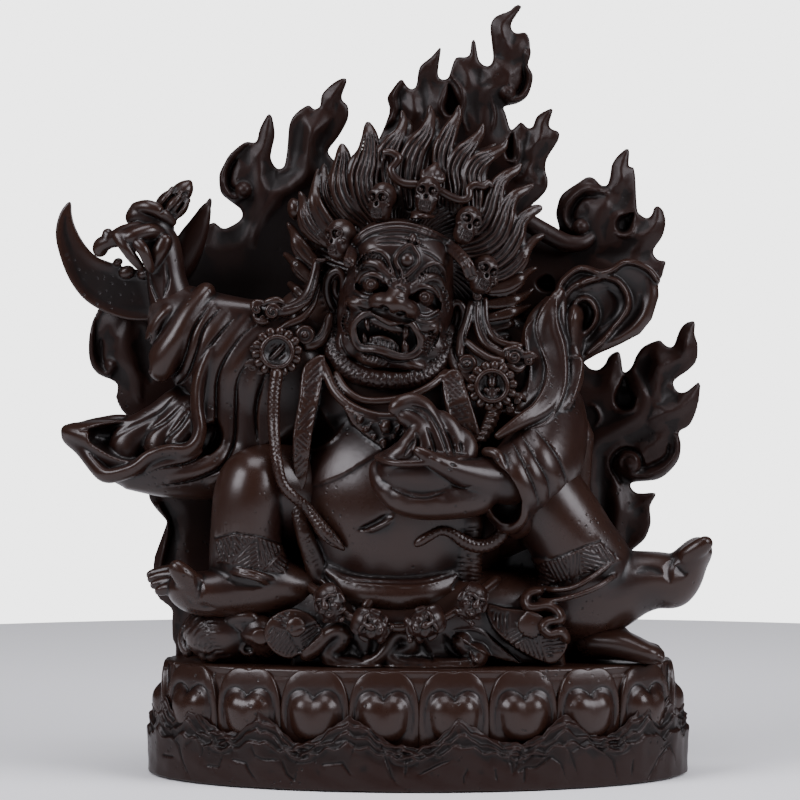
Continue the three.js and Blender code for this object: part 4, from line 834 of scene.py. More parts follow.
def hatched(outline, angle, gap, margin=0.15):
    """Parallel lines across a patch of pattern."""
    p = np.asarray(outline, dtype=float)
    along, over = np.array([math.cos(angle), math.sin(angle)]), np.array([-math.sin(angle), math.cos(angle)])
    q = np.column_stack([p @ along, p @ over])
    lines = []
    for level in np.arange(q[:, 1].min() + gap * 0.5, q[:, 1].max(), gap):
        crossings = []
        for a, b in zip(q, np.roll(q, -1, axis=0)):
            if (a[1] - level) * (b[1] - level) < 0:
                crossings.append(a[0] + (level - a[1]) * (b[0] - a[0]) / (b[1] - a[1]))
        crossings.sort()
        for start, end in zip(crossings[::2], crossings[1::2]):
            if end - start > 3 * margin:
                lines.append([along * (start + margin) + over * level, along * (end - margin) + over * level])
    return lines


seat.limb([(-40, 38, -4, 10, 12), (-20, 38, -9, 12, 12), (0, 38, -11, 12, 12), (22, 38, -9, 12, 12),
    (42, 38, -2, 10, 10)], 2)
seat.sheet(drawn((290, 668), (292, 600), (318, 588), (380, 604), (450, 600), (500, 590), (560, 610), (566, 668)), 4,
    -18.6, 1.6, 2)
HEM_FOLDS = [drawn(*p) for p in (
    ((306, 656), (318, 646), (328, 635), (339, 631), (344, 637), (339, 645), (330, 652), (330, 659), (345, 664),
        (363, 665), (376, 660), (386, 650), (392, 638), (400, 633), (408, 637), (411, 645), (404, 650), (394, 652),
        (391, 659), (404, 664), (449, 665), (470, 664), (479, 658), (478, 652), (466, 649), (460, 644), (463, 640)),
    ((453, 631), (470, 644), (495, 657), (521, 664)), ((453, 630), (478, 630), (498, 645), (521, 664)),
    ((470, 652), (474, 660), (478, 664)), ((322, 664), (345, 667), (380, 667), (420, 668), (480, 667)),
)]
for back, *thick, blend in ((-22.6, 1.5, 2.2, 1.4), (-24.2, 0.55, 0.8, 0.3)):
    seat.limb([(a, b, back - 0.8 * math.sin(0.7 * i), *thick) for i, (a, b) in enumerate(HEM_FOLDS[0])], blend, 4)
seat.sheet(drawn((330, 660), (345, 664), (363, 665), (376, 660), (386, 650), (392, 640), (380, 622), (350, 618),
    (342, 640)), -14, -21.6, 1.4, 1.4)
seat.sheet(drawn((393, 656), (404, 664), (449, 665), (474, 662), (462, 648), (455, 634), (440, 622), (412, 632),
    (410, 648)), -14, -22, 1.4, 1.4)
seat.sheet(drawn((453, 631), (470, 644), (495, 657), (521, 664), (498, 645), (480, 629)), -14, -22.6, 1.2, 0.8)
seat.sheet(drawn((486, 634), (500, 646), (522, 664), (545, 664), (530, 640)), -14, -20.6, 1.2, 0.8)
seat.face.press(HEM_FOLDS[1:], 0.7, 0.5)
seat.lines((
    ((350, 640), (356, 650), (362, 660)), ((372, 636), (374, 646), (370, 656)), ((420, 640), (424, 650), (432, 660)),
    ((444, 636), (450, 648), (460, 658)), ((412, 596), (424, 606), (436, 616)), ((350, 594), (358, 606), (362, 618)),
), 1.6, -0.7)
seat.carve(-6, 0)
LEAVES = (
    (drawn((276, 615), (288, 610), (300, 611), (312, 617), (321, 628), (322, 634), (312, 644), (300, 653), (288, 658),
           (275, 652), (267, 642), (265, 632), (268, 622)), -25.4),
    (drawn((487, 606), (505, 609), (530, 612), (548, 620), (562, 630), (567, 640), (564, 652), (554, 663), (540, 660),
           (520, 650), (504, 638), (492, 624)), -26),
)
for outline, front in LEAVES:
    bulge = front + 1.8 * np.hypot((seat.face.u[:, None] - np.mean([p[0] for p in outline])) / 10,
                                   (seat.face.v[None, :] - np.mean([p[1] for p in outline])) / 8)
    seat.sheet(smooth_path(outline, 4, closed=True), -14, bulge, 0.7, 0.5)
for u, v, r in ((296, 627, 2.6), (531, 625, 3.4)):
    seat.egg(u, v, -26, (r, r, 1), 0, 0.2)
seat.face.press([smooth_path(o, 4, closed=True) for o, _ in LEAVES], 0.5, 0.35, (1, 1), 0)
seat.hatch((
    (0.95, (270, 626), (288, 632), (300, 652), (288, 656), (276, 650), (267, 640)),
    (0.6, (300, 636), (318, 622), (320, 632), (304, 650)), (-0.3, (272, 618), (288, 612), (286, 628)),
    (1.5, (490, 610), (508, 614), (507, 638), (498, 628)), (0.55, (508, 628), (533, 634), (509, 646)),
    (-1.2, (512, 646), (536, 636), (541, 660), (526, 654)), (0.12, (540, 638), (565, 634), (564, 650), (548, 658)),
), 0.95, 0.3, -0.42)
seat.lines((
    ((508, 613), (508, 646)), ((509, 646), (536, 634), (566, 633)), ((538, 636), (544, 662)), ((288, 632), (301, 652)),
    ((289, 632), (320, 622)),
), 0.35, -0.4, (1, 1), 1)
seat.carve(-22, -19)
seat.cast("seat_cloth", most=38000)

# The legs, bare from the shin down, in trousers with a patterned band above a folded hem. The left sole is set
# on the lying head, and the right leg stretches out with its toes turned up. Modelled full round at the front.
legs = Clay((-70, -31, 27), (75, 2, 84), step=FINE_STEP)
legs.limb([(-14, 60, 0, 12, 11), (-28, 67.6, -6, 11, 10), (-38, 71.6, -14, 9.6, 9)], 3)
legs.limb([(-41.4, 72.4, -16.4, 8, 8.4), (-42.6, 66, -17, 7.9, 8.4), (-43.2, 56, -16, 8, 8.4),
    (-41.5, 48.6, -15, 9.6, 9.4)], 2)
legs.limb([(-30, 45.8, -14, 5, 6), (-38, 46.2, -16, 6.2, 7), (-48, 44.6, -17.5, 5.2, 6.4), (-55, 44.4, -18.6, 4.4, 6),
    (-59, 45.6, -19, 3.2, 5)], 2)
legs.lump((-31, 44, -13), (4.6, 4.8, 6), 0, 2)
legs.limbs((
    ((190, 576, -13, 1.7), (172, 571, -11.6, 1.5), (158, 573, -10.6, 1.3), (150, 575, -10.2, 1)),
    ((190, 580, -15, 1.7), (174, 576, -14.4, 1.5), (160, 577, -13.6, 1.3), (151, 579, -13, 1)),
    ((190, 585, -17.4, 1.7), (176, 582, -17.4, 1.5), (163, 583, -16.8, 1.3), (154, 585, -16, 1.05)),
    ((190, 590, -19.6, 1.7), (178, 588, -20, 1.5), (166, 589, -19.4, 1.35), (159, 591, -18.8, 1.1)),
), 0.45)
legs.limb(drawn((200, 588, -21, 2.8), (190, 582, -23.6, 2.6), (182, 574, -25.2, 2.3), (176, 567, -25.6, 1.6)), 0.8)
legs.egg(175.6, 566.5, -26.8, (1, 0.8, 0.5), 0.5, 0.2)
for u, v, y in ((150, 574, -11.2), (151, 578, -14), (154, 584, -17), (159, 590, -19.8)):
    legs.egg(u, v, y, (0.9, 0.5, 0.5), 0.1, 0.15)
legs.limb([(6, 60, 0, 12, 11), (22, 66, -7, 10.4, 10), (32, 68.6, -14, 9.4, 9.6)], 3)
legs.limb([(30, 70, -15, 9.6, 10), (36, 62, -15, 9.6, 10), (40, 55, -14, 9.8, 10), (43.6, 49.6, -13, 10.4, 10.2)], 2)
legs.limb([(38, 42, -12, 9.4, 9), (46, 44.2, -12, 9.2, 8.6), (54, 47, -12, 7, 7.2), (60, 47.8, -12, 5.9, 6.2),
    (64, 47.4, -12, 5.4, 5.6)], 2)
legs.limb([(63.4, 46.4, -12, 5.2, 5), (66, 49.4, -12, 4.6, 5), (68.4, 53, -12, 3.4, 5.2), (70.4, 55.4, -12, 2.7, 5)],
    1.6)
for k in range(4):
    legs.limb(drawn((696, 557 - 1.2 * k, -9 - 2.1 * k, 1.45), (702, 549 - 1.2 * k, -8.6 - 2.1 * k, 1.3),
        (705.5, 544.5 - 1.0 * k, -8.2 - 2.1 * k, 1.1)), 0.4)
legs.limb(drawn((688, 556, -16.4, 2.3), (699, 548, -17.6, 2.1), (706, 543, -18, 1.7)), 0.5)
legs.egg(705, 542.5, -19.4, (1, 1.1, 0.5), -0.5, 0.15)
legs.lines((
    ((676, 566), (684, 572), (688, 572)), ((674, 560), (668, 570), (670, 582)), ((636, 572), (650, 570), (664, 574)),
    ((196, 578), (200, 590), (196, 602)), ((228, 580), (244, 584), (262, 586)), ((184, 596), (196, 604), (214, 608)),
), 1.5, -0.45)
legs.carve(-6, -1)
LEFT_BAND = drawn((214, 538), (234, 533), (258, 536), (284, 545), (288, 562), (286, 574), (262, 572), (238, 566),
    (216, 563))
RIGHT_BAND = drawn((516, 568), (530, 556), (556, 560), (585, 546), (600, 541), (614, 553), (624, 560), (606, 568),
    (578, 578), (548, 586), (522, 588))
legs.face.raise_area(np.array(LEFT_BAND), 0.5, 0.5)
legs.face.raise_area(np.array(RIGHT_BAND), 0.5, 0.5)
legs.hatch((
    (1.9, (217, 541), (233, 535), (229, 561), (217, 562)), (2.2, (236, 534), (254, 537), (232, 560)),
    (0.55, (256, 539), (259, 570), (236, 564)), (1.9, (262, 540), (284, 547), (262, 568)),
    (-0.6, (286, 550), (288, 572), (266, 571)),
    (0.9, (519, 568), (531, 560), (540, 566), (530, 586), (522, 586)), (-0.4, (543, 563), (556, 584), (534, 587)),
    (-1.1, (546, 562), (566, 556), (568, 580), (558, 583)), (1.55, (569, 556), (579, 552), (578, 576), (571, 579)),
    (-0.25, (581, 551), (588, 548), (608, 566), (582, 575)), (-1, (592, 546), (600, 543), (620, 559), (611, 564)),
), 1, 0.32, -0.45)
legs.lines((
    ((216, 538), (234, 533), (258, 536), (284, 545)), ((234, 535), (231, 563)), ((256, 538), (231, 563)),
    ((257, 538), (261, 571)), ((285, 547), (261, 571)), ((516, 568), (530, 557)), ((545, 562), (585, 546), (600, 541)),
    ((541, 564), (531, 588)), ((544, 563), (558, 586)), ((568, 555), (570, 581)), ((580, 551), (580, 578)),
    ((590, 547), (610, 567)),
), 0.4, -0.4, (1, 1), 1)
legs.carve(-10, -5)
for path in (
    ((215, 568, -12), (222, 566, -19), (238, 569, -24.4), (258, 574, -25.6), (276, 581, -22), (286, 586, -15)),
    ((215, 573, -12), (224, 571, -20), (240, 574, -25.2), (258, 579, -26), (273, 588, -21), (268, 596, -18)),
    ((544, 588, -20), (553, 590, -24), (572, 588, -26), (591, 578, -26), (611, 563, -22), (624, 557, -15)),
    ((533, 592, -18), (540, 600, -23), (559, 600, -26), (591, 590, -26.6), (611, 578, -23), (628, 562, -14)),
):
    legs.limb([(*p, 0.65, 1.1) for p in drawn(*path)], 0.35, 6)
HEM_MEANDER = drawn((540, 591, -24), (529, 594, -24), (526, 602, -25), (531, 608, -26), (548, 606, -26.6),
    (558, 612, -27), (560, 620, -27), (548, 622, -27.4), (543, 628, -27.6), (550, 634, -27.6), (561, 632, -27),
    (566, 640, -25.4))
legs.limb([(a, b, y + 2.6, 1.1, 2.8) for a, b, y in HEM_MEANDER], 0.8, 5)
legs.limb([(*p, 0.55, 0.6) for p in HEM_MEANDER], 0.25, 5)
legs.cast("legs_and_feet", most=58000)

# The torso: a heavy belly in a layered wrap under an open coat, whose edges carry a patterned band. Modelled as
# one rounded mass, with the edges of the layers left as low steps.
torso = Clay((-52, -32, 30), (50, 11, 128), step=BODY_STEP)
torso.lump((-6, 94, 0), (30, 20, 17), 0, 0)
torso.lump((-4.5, 66, -5), (29, 27.6, 21.6), 0, 3)
torso.sheet([(-46, 34), (-48, 60), (-46, 84), (-42, 106), (-26, 120), (20, 118), (36, 104), (44, 84), (42, 58),
    (38, 34)], 10.6, -6, 3, 3)
torso.limb(drawn((322, 572, -14, 3.4, 4), (350, 590, -18, 3.6, 4), (386, 596, -20, 3.8, 4.4),
    (424, 594, -19.6, 3.8, 4.4), (462, 580, -15, 3.4, 4)), 1.5)
torso.carve(-6, 0)
STEPS = (
    ((300, 489), (322, 482), (342, 474), (362, 462), (384, 450)), ((300, 452), (322, 446), (336, 436), (346, 422)),
    ((318, 404), (325, 416), (335, 432)), ((330, 569), (347, 577), (386, 580.5), (424, 580), (458, 570)),
    ((332, 574), (349, 582), (386, 585.5), (424, 585), (458, 575)),
)
torso.lines(STEPS, 0.62, 0.42)
torso.face.raise_area(np.array(drawn((300, 489), (322, 482), (342, 474), (362, 462), (384, 450), (372, 420),
    (340, 392), (318, 380), (296, 420))), 0.5, 0.4)
torso.lines((((355, 530), (368, 526), (381, 519), (391, 512)),), 1, -1.1, (0.1, 0.1))
torso.lines((((362, 532), (376, 528), (391, 520), (394, 514)),), 1.1, 0.9, (0.2, 0.2))
torso.lines((((304, 560), (322, 574), (340, 590)), ((470, 560), (466, 574), (452, 588))), 1.2, -1.4)
torso.carve(-14, -8)
torso.limbs((
    ((296, 500, -18.6, 1.9, 1.6), (303, 530, -19.8, 2, 1.6), (312, 556, -18.6, 2.4, 1.6), (322, 586, -15.4, 3, 2)),
    ((470, 520, -20, 3.2, 2.6), (470, 548, -19.6, 3.2, 2.4), (468, 575, -17, 3.6, 2.6), (476, 592, -14, 4.2, 3)),
), 0.5)
for outline, levels in (
    (((304, 366), (299, 400), (293, 440), (295, 486), (305, 486), (312, 430), (320, 390), (325, 355)),
        ((71, -20.6), (83, -21.8), (93, -21), (104, -17.6))),
    (((443, 376), (446, 410), (456, 436), (473, 452), (482, 441), (471, 404), (460, 370)),
        ((80, -22), (86, -23), (93, -22.4), (101, -18.6))),
):
    front = np.interp(torso.face.v, *zip(*levels))[None, :] + 0 * torso.face.u[:, None]
    torso.sheet(smooth_path(drawn(*outline), 3, closed=True), -8, front, 0.35, 0.3)
torso.hatch((
    (0.8, (305, 368), (322, 357), (320, 376), (302, 392)), (-0.75, (301, 396), (319, 380), (316, 398), (300, 412)),
    (0.8, (299, 416), (315, 402), (312, 424), (297, 434)), (-0.75, (296, 438), (311, 428), (308, 448), (294, 456)),
    (0.8, (294, 460), (308, 452), (306, 472), (298, 480)),
    (2.4, (446, 376), (456, 372), (465, 396), (448, 404)), (0.3, (449, 408), (466, 400), (470, 418), (452, 424)),
    (2.3, (453, 428), (471, 422), (478, 446), (468, 444)),
    (0.6, (291, 498), (300, 496), (308, 530), (298, 532)), (0.6, (299, 536), (309, 534), (320, 566), (308, 568)),
    (0.05, (460, 528), (480, 524), (482, 548), (458, 550)), (-0.1, (458, 556), (482, 554), (486, 584), (458, 582)),
), 1.05, 0.32, -0.42)
torso.lines((
    ((306, 366), (301, 400), (294, 440), (296, 484)), ((324, 356), (320, 390), (312, 430), (305, 484)),
    ((446, 376), (448, 410), (458, 436), (474, 450)), ((458, 372), (470, 404), (480, 440)),
), 0.42, 0.34)
torso.carve(-17, -13)
torso.limb(drawn((324, 366, -17, 1.1), (334, 390, -20.4, 1.1), (350, 406, -22.6, 1.1), (376, 416, -23.6, 1.1),
    (402, 416, -23.8, 1)), 0.6)
torso.limb(drawn((336, 374, -17, 0.9), (346, 390, -20, 0.9), (362, 400, -21.4, 0.9), (384, 401, -22, 0.9),
    (410, 396, -22, 0.9), (432, 385, -20.4, 0.9), (446, 372, -17, 0.9)), 0.6)
torso.sheet(drawn((343, 407), (352, 410), (376, 418), (405, 419), (403, 430), (394, 440), (386, 450), (378, 444),
    (364, 434), (352, 424)), -16, -24.6, 0.6, 0.3)
for u, v, r in ((386, 427.5, 1.5), (384, 443, 1.05), (360, 420, 0.8), (366, 429, 0.8), (398, 430, 0.8),
        (374, 437, 0.7), (394, 437, 0.7)):
    torso.egg(u, v, -25, (r, r, r * 0.9), 0, 0.1)
torso.lines((
    ((346, 411), (362, 416), (380, 421), (403, 422)), ((376, 433), (370, 428), (373, 422), (379, 424), (378, 430)),
    ((392, 424), (397, 422), (400, 426), (396, 432)), ((352, 416), (357, 414), (358, 422), (364, 424)),
    ((380, 449), (388, 447)), ((380, 434), (386, 436), (393, 434)),
), 0.4, 0.5)
torso.carve(-22, -19)
torso.cast("torso_and_wrap", most=52000)

# The cloak's right side as the figure wears it, at the viewer's left: a heavy sleeve pushed up the raised arm. Its
# cloth falls in rolled folds and turns out at the hem into a deep bell, whose mouth shows the folds inside.
sleeve = Clay((-92.5, -26, 63), (-23, 7, 124), step=0.34)
sleeve.limb([(-28, 100, 0, 15, 13), (-44, 102, -4, 14, 12), (-54, 108, -6, 11, 10), (-60, 114, -6, 7, 7)], 2)
sleeve.sheet([(-30, 116), (-46, 118), (-57, 119), (-61, 112), (-57, 101), (-55.5, 90), (-56, 82), (-66, 78.6),
    (-76, 75), (-73, 70.6), (-64, 69), (-50, 69.6), (-43, 74), (-36, 80), (-27, 86), (-24, 100)], 4, -14.5, 3.5, 3)
sleeve.limb([(-44, 76, -6, 7, 9), (-54, 76, -7, 7.4, 9.4), (-64, 77.4, -8, 7.6, 9.4), (-74, 80, -8, 7, 8),
    (-82, 83.2, -8, 3.4, 5), (-88.2, 85.2, -8, 0.8, 1.2)], 2)
sleeve.limb([(-57, 92, -12, 2.4, 7), (-58.6, 87.4, -13, 3.8, 8.4), (-64, 84.2, -15, 4.4, 8.6),
    (-72, 83, -15, 5.2, 8.4), (-80, 83.8, -14, 2.4, 6)], 0.8, cut=True)
sleeve.limb([(-52, 84, -14, 3.4, 4), (-54, 80, -13, 2.4, 3)], 1.5, cut=True)
sleeve.limb(drawn((206, 292, -10, 2.4, 4), (190, 313, -11.4, 3.2, 5), (177, 336, -12.4, 3.6, 5.4),
    (165, 356, -12.4, 3.7, 5), (161, 370, -12, 3, 4)), 0.7, 6)
sleeve.limb(drawn((152, 338, -10, 1.6, 3), (158, 322, -10.4, 1.7, 3.4), (168, 310, -10.4, 1.6, 3.4)), 0.8, 6)
BANDS = (
    ((212, 304), (198, 330), (192, 352), (184, 374), (170, 388)), ((226, 314), (208, 338), (199, 360), (193, 382)),
    ((246, 318), (228, 342), (213, 364), (207, 388), (206, 414), (207, 434), (198, 452), (178, 459), (150, 470)),
    ((260, 334), (242, 356), (231, 378), (227, 404), (226, 434), (218, 458), (198, 472), (170, 479)),
    ((264, 350), (253, 380), (247, 410), (246, 440), (236, 466), (210, 484)),
)
sleeve.lines(BANDS, 3, 0.6, (0.5, 0.5))
FOLD_LINES = (
    ((211, 303), (194, 328), (187, 351), (179, 370), (164, 384)),
    ((220, 309), (204, 328), (197, 351), (188, 375), (174, 388)),
    ((234, 318), (213, 342), (202, 361), (196, 382), (195.5, 400)),
    ((258, 323), (241, 337), (224, 361), (217, 382), (216, 413), (216, 432), (207, 451), (188, 463), (162, 468),
        (141, 477)),
    ((252, 356), (238, 380), (236, 413), (234, 442), (222, 466), (193, 480), (155, 487)),
    ((266, 374), (258, 399), (256, 423), (259, 447)), ((150, 372), (146, 350), (152, 334)),
)
sleeve.lines(FOLD_LINES, 0.6, -1, (0.3, 0.2))
sleeve.carve(-9, -3)
NEAR_RIM = drawn((67, 433), (80, 444), (94, 462), (105, 472), (119, 471), (135, 465), (149, 454), (167, 448),
    (184, 448), (195, 441), (200, 426), (197, 404), (198, 382), (204, 362), (211, 348))
rim_back = [-8.5, -11, -14.5, -17, -18, -18.4, -18.6, -18.8, -18.8, -18.6, -18.2, -17.8, -17.4, -17, -16.4]
sleeve.limb([(a, b, y, 0.6, 0.9) for (a, b), y in zip(NEAR_RIM, rim_back)], 0.6, 6)
sleeve.limb([(a, b - 0.9, y + 1.4, 1.2, 1.6) for (a, b), y in zip(NEAR_RIM, rim_back)], 1.2, 6)
FAR_RIM = drawn((67, 431), (87, 422), (105, 418), (121, 416), (146, 417.5), (160, 408), (174, 395))
sleeve.limb([(a, b - 0.6, y, 0.8, 1.4) for (a, b), y in zip(FAR_RIM, (-7, -6.4, -6, -6, -6.6, -8, -9.6))], 0.8, 6)
sleeve.limbs((
    ((180, 398, -7.6, 2.6, 2.4), (161, 417, -7.8, 3, 2.6), (142, 431, -8, 3.4, 2.6), (128, 443, -8.4, 3.2, 2.4),
        (126, 452, -9, 2.2, 2)),
    ((188, 406, -9.6, 2.2, 2.4), (174, 424, -10.4, 2.6, 2.4), (160, 438, -11, 2.5, 2.4), (155, 449, -11.8, 1.8, 2)),
    ((193, 416, -12, 1.6, 2.2), (185, 430, -12.8, 1.9, 2.2), (175, 442, -13.4, 1.6, 2)),
), 1.8, 6)
sleeve.lines((
    ((174, 397), (160, 413), (131, 427.6), (116, 437), (112, 447), (122, 458)),
    ((184, 404), (167, 421), (150, 432), (144.5, 442), (148, 450)), ((190, 412), (180, 427), (166, 440)),
    ((80, 430), (100, 430), (116, 424)),
), 0.8, -0.6)
sleeve.carve(-15, -6)
sleeve.cast("raised_sleeve", most=65000)

# The cloak's other side: a long ribbon of the collar's edge runs down over the bent arm, and behind it the cloak
# flares back into a scroll of two loops. The forearm comes forward out of a wide turned-back sleeve.
cloak = Clay((13, -34, 57), (64.5, 11, 131), step=0.36)
cloak.limb([(24, 97, 3, 8, 8), (30, 91, -4, 10, 10), (31.5, 84, -10, 10, 10.4), (30, 77, -17, 9.6, 10),
    (25, 72.6, -22.4, 8.6, 8.4), (21.6, 71, -24, 7.8, 7.6)], 2)
cloak.limb([(22, 66, -21, 5, 6), (24.6, 63, -21, 4, 5), (24.4, 60.4, -20, 1.4, 2.4)], 1.6)
FLARE = drawn((556, 300), (556, 292), (563, 280), (576, 269), (587, 268), (600, 272), (612, 269), (623, 262),
    (635, 262), (649, 269), (658, 281), (659, 296), (652, 319), (640, 334), (619, 345), (598, 354), (584, 362),
    (580, 380), (570, 404), (556, 412), (548, 400), (552, 360))
cloak.sheet(FLARE, 8, -8.5, 2, 1)
cloak.egg(612, 304, -10.5, (11.6, 8.8, 4.4), -0.42, 1.6, cut=True)
cloak.egg(588, 318, -11, (5.6, 7.6, 5.8), 0.35, 1.2, cut=True)
cloak.limb(drawn((566, 360, -6, 3.6, 6), (570, 335, -6, 2.8, 6), (574, 312, -6, 2, 6)), 1.5)
for path, back, size in (
    (((566, 352), (562, 330), (562, 308), (568, 292), (583, 281), (600, 277), (616, 280), (626, 292), (628, 306),
        (620, 320), (602, 340), (584, 356)), -8, 0.5),
    (((573, 350), (570, 330), (570, 312), (576, 302), (585, 298), (593, 304), (596, 316), (590, 328), (578, 340)), -7,
        0.5),
    (((556, 296), (563, 281), (576, 270), (587, 269), (600, 273), (612, 270), (623, 263), (635, 263), (649, 270),
        (658, 281)), -8.2, 0.5),
):
    cloak.limb([(a, b, back + 1.2, size, 1.8) for a, b in drawn(*path)], 0.9, 6)
cloak.lines((
    ((572, 300), (566, 316), (567, 336), (571, 352)), ((640, 296), (638, 310), (626, 326), (606, 342)),
    ((588, 306), (590, 316), (582, 330)), ((608, 288), (618, 298), (616, 312), (602, 326)),
), 1.6, -0.6)
cloak.lines((
    ((648, 280), (650, 296), (644, 312), (630, 328), (606, 342), (588, 354)), ((577, 290), (590, 285), (606, 286)),
), 2.2, 0.5)
cloak.carve(-6, 2)
cloak.limbs((
    ((560, 292, -9.6, 1.2, 1.6), (549, 312, -11, 2.2, 1.8), (549, 330, -12, 2.9, 1.8), (555, 350, -13, 3, 1.8),
        (557, 372, -14.6, 2.9, 1.8), (552, 394, -17, 2.8, 1.8), (540, 410, -20.4, 2.4, 1.8),
        (520, 422, -23.6, 1.8, 1.6), (498, 436, -25.6, 1, 1.2)),
    ((562, 298, -8.6, 0.9, 1.6), (562, 322, -10, 1.5, 1.8), (570, 348, -11, 2, 1.8), (575, 372, -12.6, 2.2, 1.8),
        (570, 394, -14.6, 1.9, 1.8), (560, 410, -17, 1.4, 1.6)),
    ((548, 300, -8, 1, 2), (536, 322, -9.6, 2.4, 2.2), (533, 348, -11, 3, 2.4), (538, 372, -12.4, 3, 2.4),
        (534, 392, -14.6, 2.8, 2.2), (518, 408, -17.6, 2.2, 2)),
), 0.35, 6)
cloak.lines((
    ((554, 293), (541, 311), (536, 327), (541, 348), (548, 368), (545, 386), (534, 405), (520, 416), (500, 433)),
    ((556, 295), (557, 323), (564, 348), (566, 377), (560, 402), (546, 422), (523, 430)),
    ((568, 357), (582, 360), (576, 391), (568, 412)), ((534, 318), (526, 330), (527, 350), (530, 373), (527, 396)),
), 0.6, 0.45, (0.6, 0.4))
cloak.lines((
    ((549, 316), (546, 332), (552, 352), (557, 376), (550, 398), (534, 414)), ((569, 340), (572, 364), (570, 384)),
    ((533, 330), (532, 350), (536, 370), (534, 388)),
), 2, -0.4)
cloak.carve(-12, -5)
cloak.lines((
    ((508, 438), (514, 446), (527, 471), (536, 494), (539, 510)), ((520, 432), (536, 459.5), (547, 480), (550, 500)),
    ((534, 428), (554.5, 453), (564, 474), (567, 489)),
), 0.5, -0.6, (0.2, 0.3))
cloak.lines((
    ((508, 450), (518, 470), (526, 490), (530, 514)), ((516, 438), (532, 464), (542, 488), (545, 504)),
    ((530, 432), (546, 456), (556, 478), (559, 494)),
), 2.4, 0.4, (0.2, 0.6))
cloak.carve(-17, -8)
CUFF = drawn((486, 452), (497, 455), (503, 470), (510, 488), (520, 503), (523, 514), (518, 524), (509, 529), (500, 524))
cloak.limb([(a, b, y, 1.2, 1.4) for (a, b), y in zip(CUFF, (-28, -30, -30.4, -30, -29, -28, -26.6, -24.4, -22.6))],
    0.6, 6)
cloak.limb(drawn((492, 478, -28, 3.8, 5.4), (504, 494, -28, 4.2, 5), (508, 510, -27, 3.2, 4)), 1.2, cut=True)
cloak.cast("cloak_and_bent_arm", most=75000)

# The raised right hand grips the flaying knife: a broad crescent blade under the fist, with a half-thunderbolt
# pommel of ribs and a pointed bud above it. Hand and knife are one with the sleeve and the flames behind.
hand = Clay((-92, -17, 104), (-48, 4, 157), step=0.3)
BLADE = drawn((71, 202), (66, 204), (59, 215), (55.5, 233), (59, 253), (69, 279), (85, 300), (109, 314), (135, 320.5),
    (164, 317), (157, 300), (151, 282), (148, 272), (128, 268), (110, 262), (96, 256), (84, 243), (75.5, 227),
    (72, 214))
flat = hand.face.signed(smooth_path(BLADE, 4, closed=True), FAR)
hollow = 1.1 * eased(-flat, 0.3, 3.4)
hand.sheet(smooth_path(BLADE, 4, closed=True), -1.2, -4.6 + hollow * 0.45, 0.45, 0)
hand.limb([(-60, 112.6, -6, 5.8, 5.6), (-61.6, 118, -6, 4.7, 4.8), (-62.8, 123, -6, 4.1, 4.3),
    (-63.6, 128, -6, 4.2, 4.3), (-65, 132.6, -6, 4.6, 4.4)], 1.4)
hand.lump((-67.6, 134.8, -6.6), (6.4, 3.8, 4.4), -0.5, 1.2)
hand.limbs((
    ((164, 236, -8, 1.6), (150, 231, -11.6, 1.8), (135, 235, -13.4, 1.7), (128, 238, -13.6, 1.5)),
    ((150, 235, -10, 1.5), (138, 232, -12.2, 1.6), (126, 236, -13, 1.5), (118, 236, -12.6, 1.35)),
    ((118, 236, -12.8, 1.45), (125, 247, -13.8, 1.35), (133, 258, -13.2, 1.25), (141, 268, -11.6, 0.9)),
    ((136, 242, -13.6, 1.5), (143, 250, -14.4, 1.4), (148, 262, -13.4, 1.2), (151, 270, -12, 0.9)),
    ((164, 241, -10.6, 1.9), (158, 254, -10.8, 1.8), (153, 268, -9.6, 1.2)),
    ((146, 228, -9, 1.6), (134, 229, -10.6, 1.6), (122, 232, -10.8, 1.5), (112, 238, -9.6, 1.4)),
    ((120, 240, -9, 1.6), (110, 241, -8.6, 1.7), (102, 245, -7.4, 1.9), (100, 250, -6.4, 1.8)),
    ((108, 240, -8.6, 1.3), (107, 234, -8.6, 1.1), (109, 232, -8, 0.8)),
), 0.4, 5)
for u, v, r in ((127, 272, 2.1), (144, 274, 1.7), (118, 262, 1.3)):
    hand.egg(u, v, -4.6, (r, r * 0.8, 1.5), -0.3, 0.3)
hand.limb(drawn((168, 226, -5, 1.6, 1.8), (150, 220, -7, 2.6, 2.8), (140, 214, -7.4, 2.6, 2.8),
    (134, 218, -7, 2, 2.4)), 0.7)
hand.limb(drawn((136, 208, -8.4, 1.5), (148, 207, -10, 1.7), (160, 212, -10, 1.6), (172, 222, -8, 1.2)), 0.4)
hand.egg(172, 205, -4.4, (4.6, 3.8, 4.2), -0.55, 0.5)
for k, (du, dv) in enumerate(((-10, -8), (-3, -3), (5, 3), (11, 8))):
    a, b = drawn((172 + du * 0.75, 205 + dv * 0.75))[0]
    rise = 0.25 * abs(k - 1.5)
    hand.limb([(a - 1.9, b - 2.4, -7.2, 0.8), (a + 0.2, b + 0.2, -8.9 + rise, 0.8), (a + 2, b + 2.6, -6.6, 0.7)], 0.2,
        4)
hand.limb(drawn((163, 213, -8.6, 0.8), (173, 203, -9.6, 0.85), (181, 193, -8.2, 0.8)), 0.2)
hand.limb(drawn((178, 196, -4.6, 2.4, 2.6), (184, 190, -4.6, 2.2, 2.2), (190, 182, -4.4, 0.5, 0.6)), 0.4)
hand.lines((((150, 274), (154, 290), (164, 312)), ((166, 262), (168, 280), (164, 296))), 0.7, -0.6)
hand.lines((
    ((162, 208), (170, 198), (180, 193)), ((160, 214), (168, 204)), ((176, 214), (184, 202)), ((181, 195), (188, 192)),
), 0.5, -0.6)
hand.carve(-6, -1)
hand.cast("hand_and_knife", most=40000)

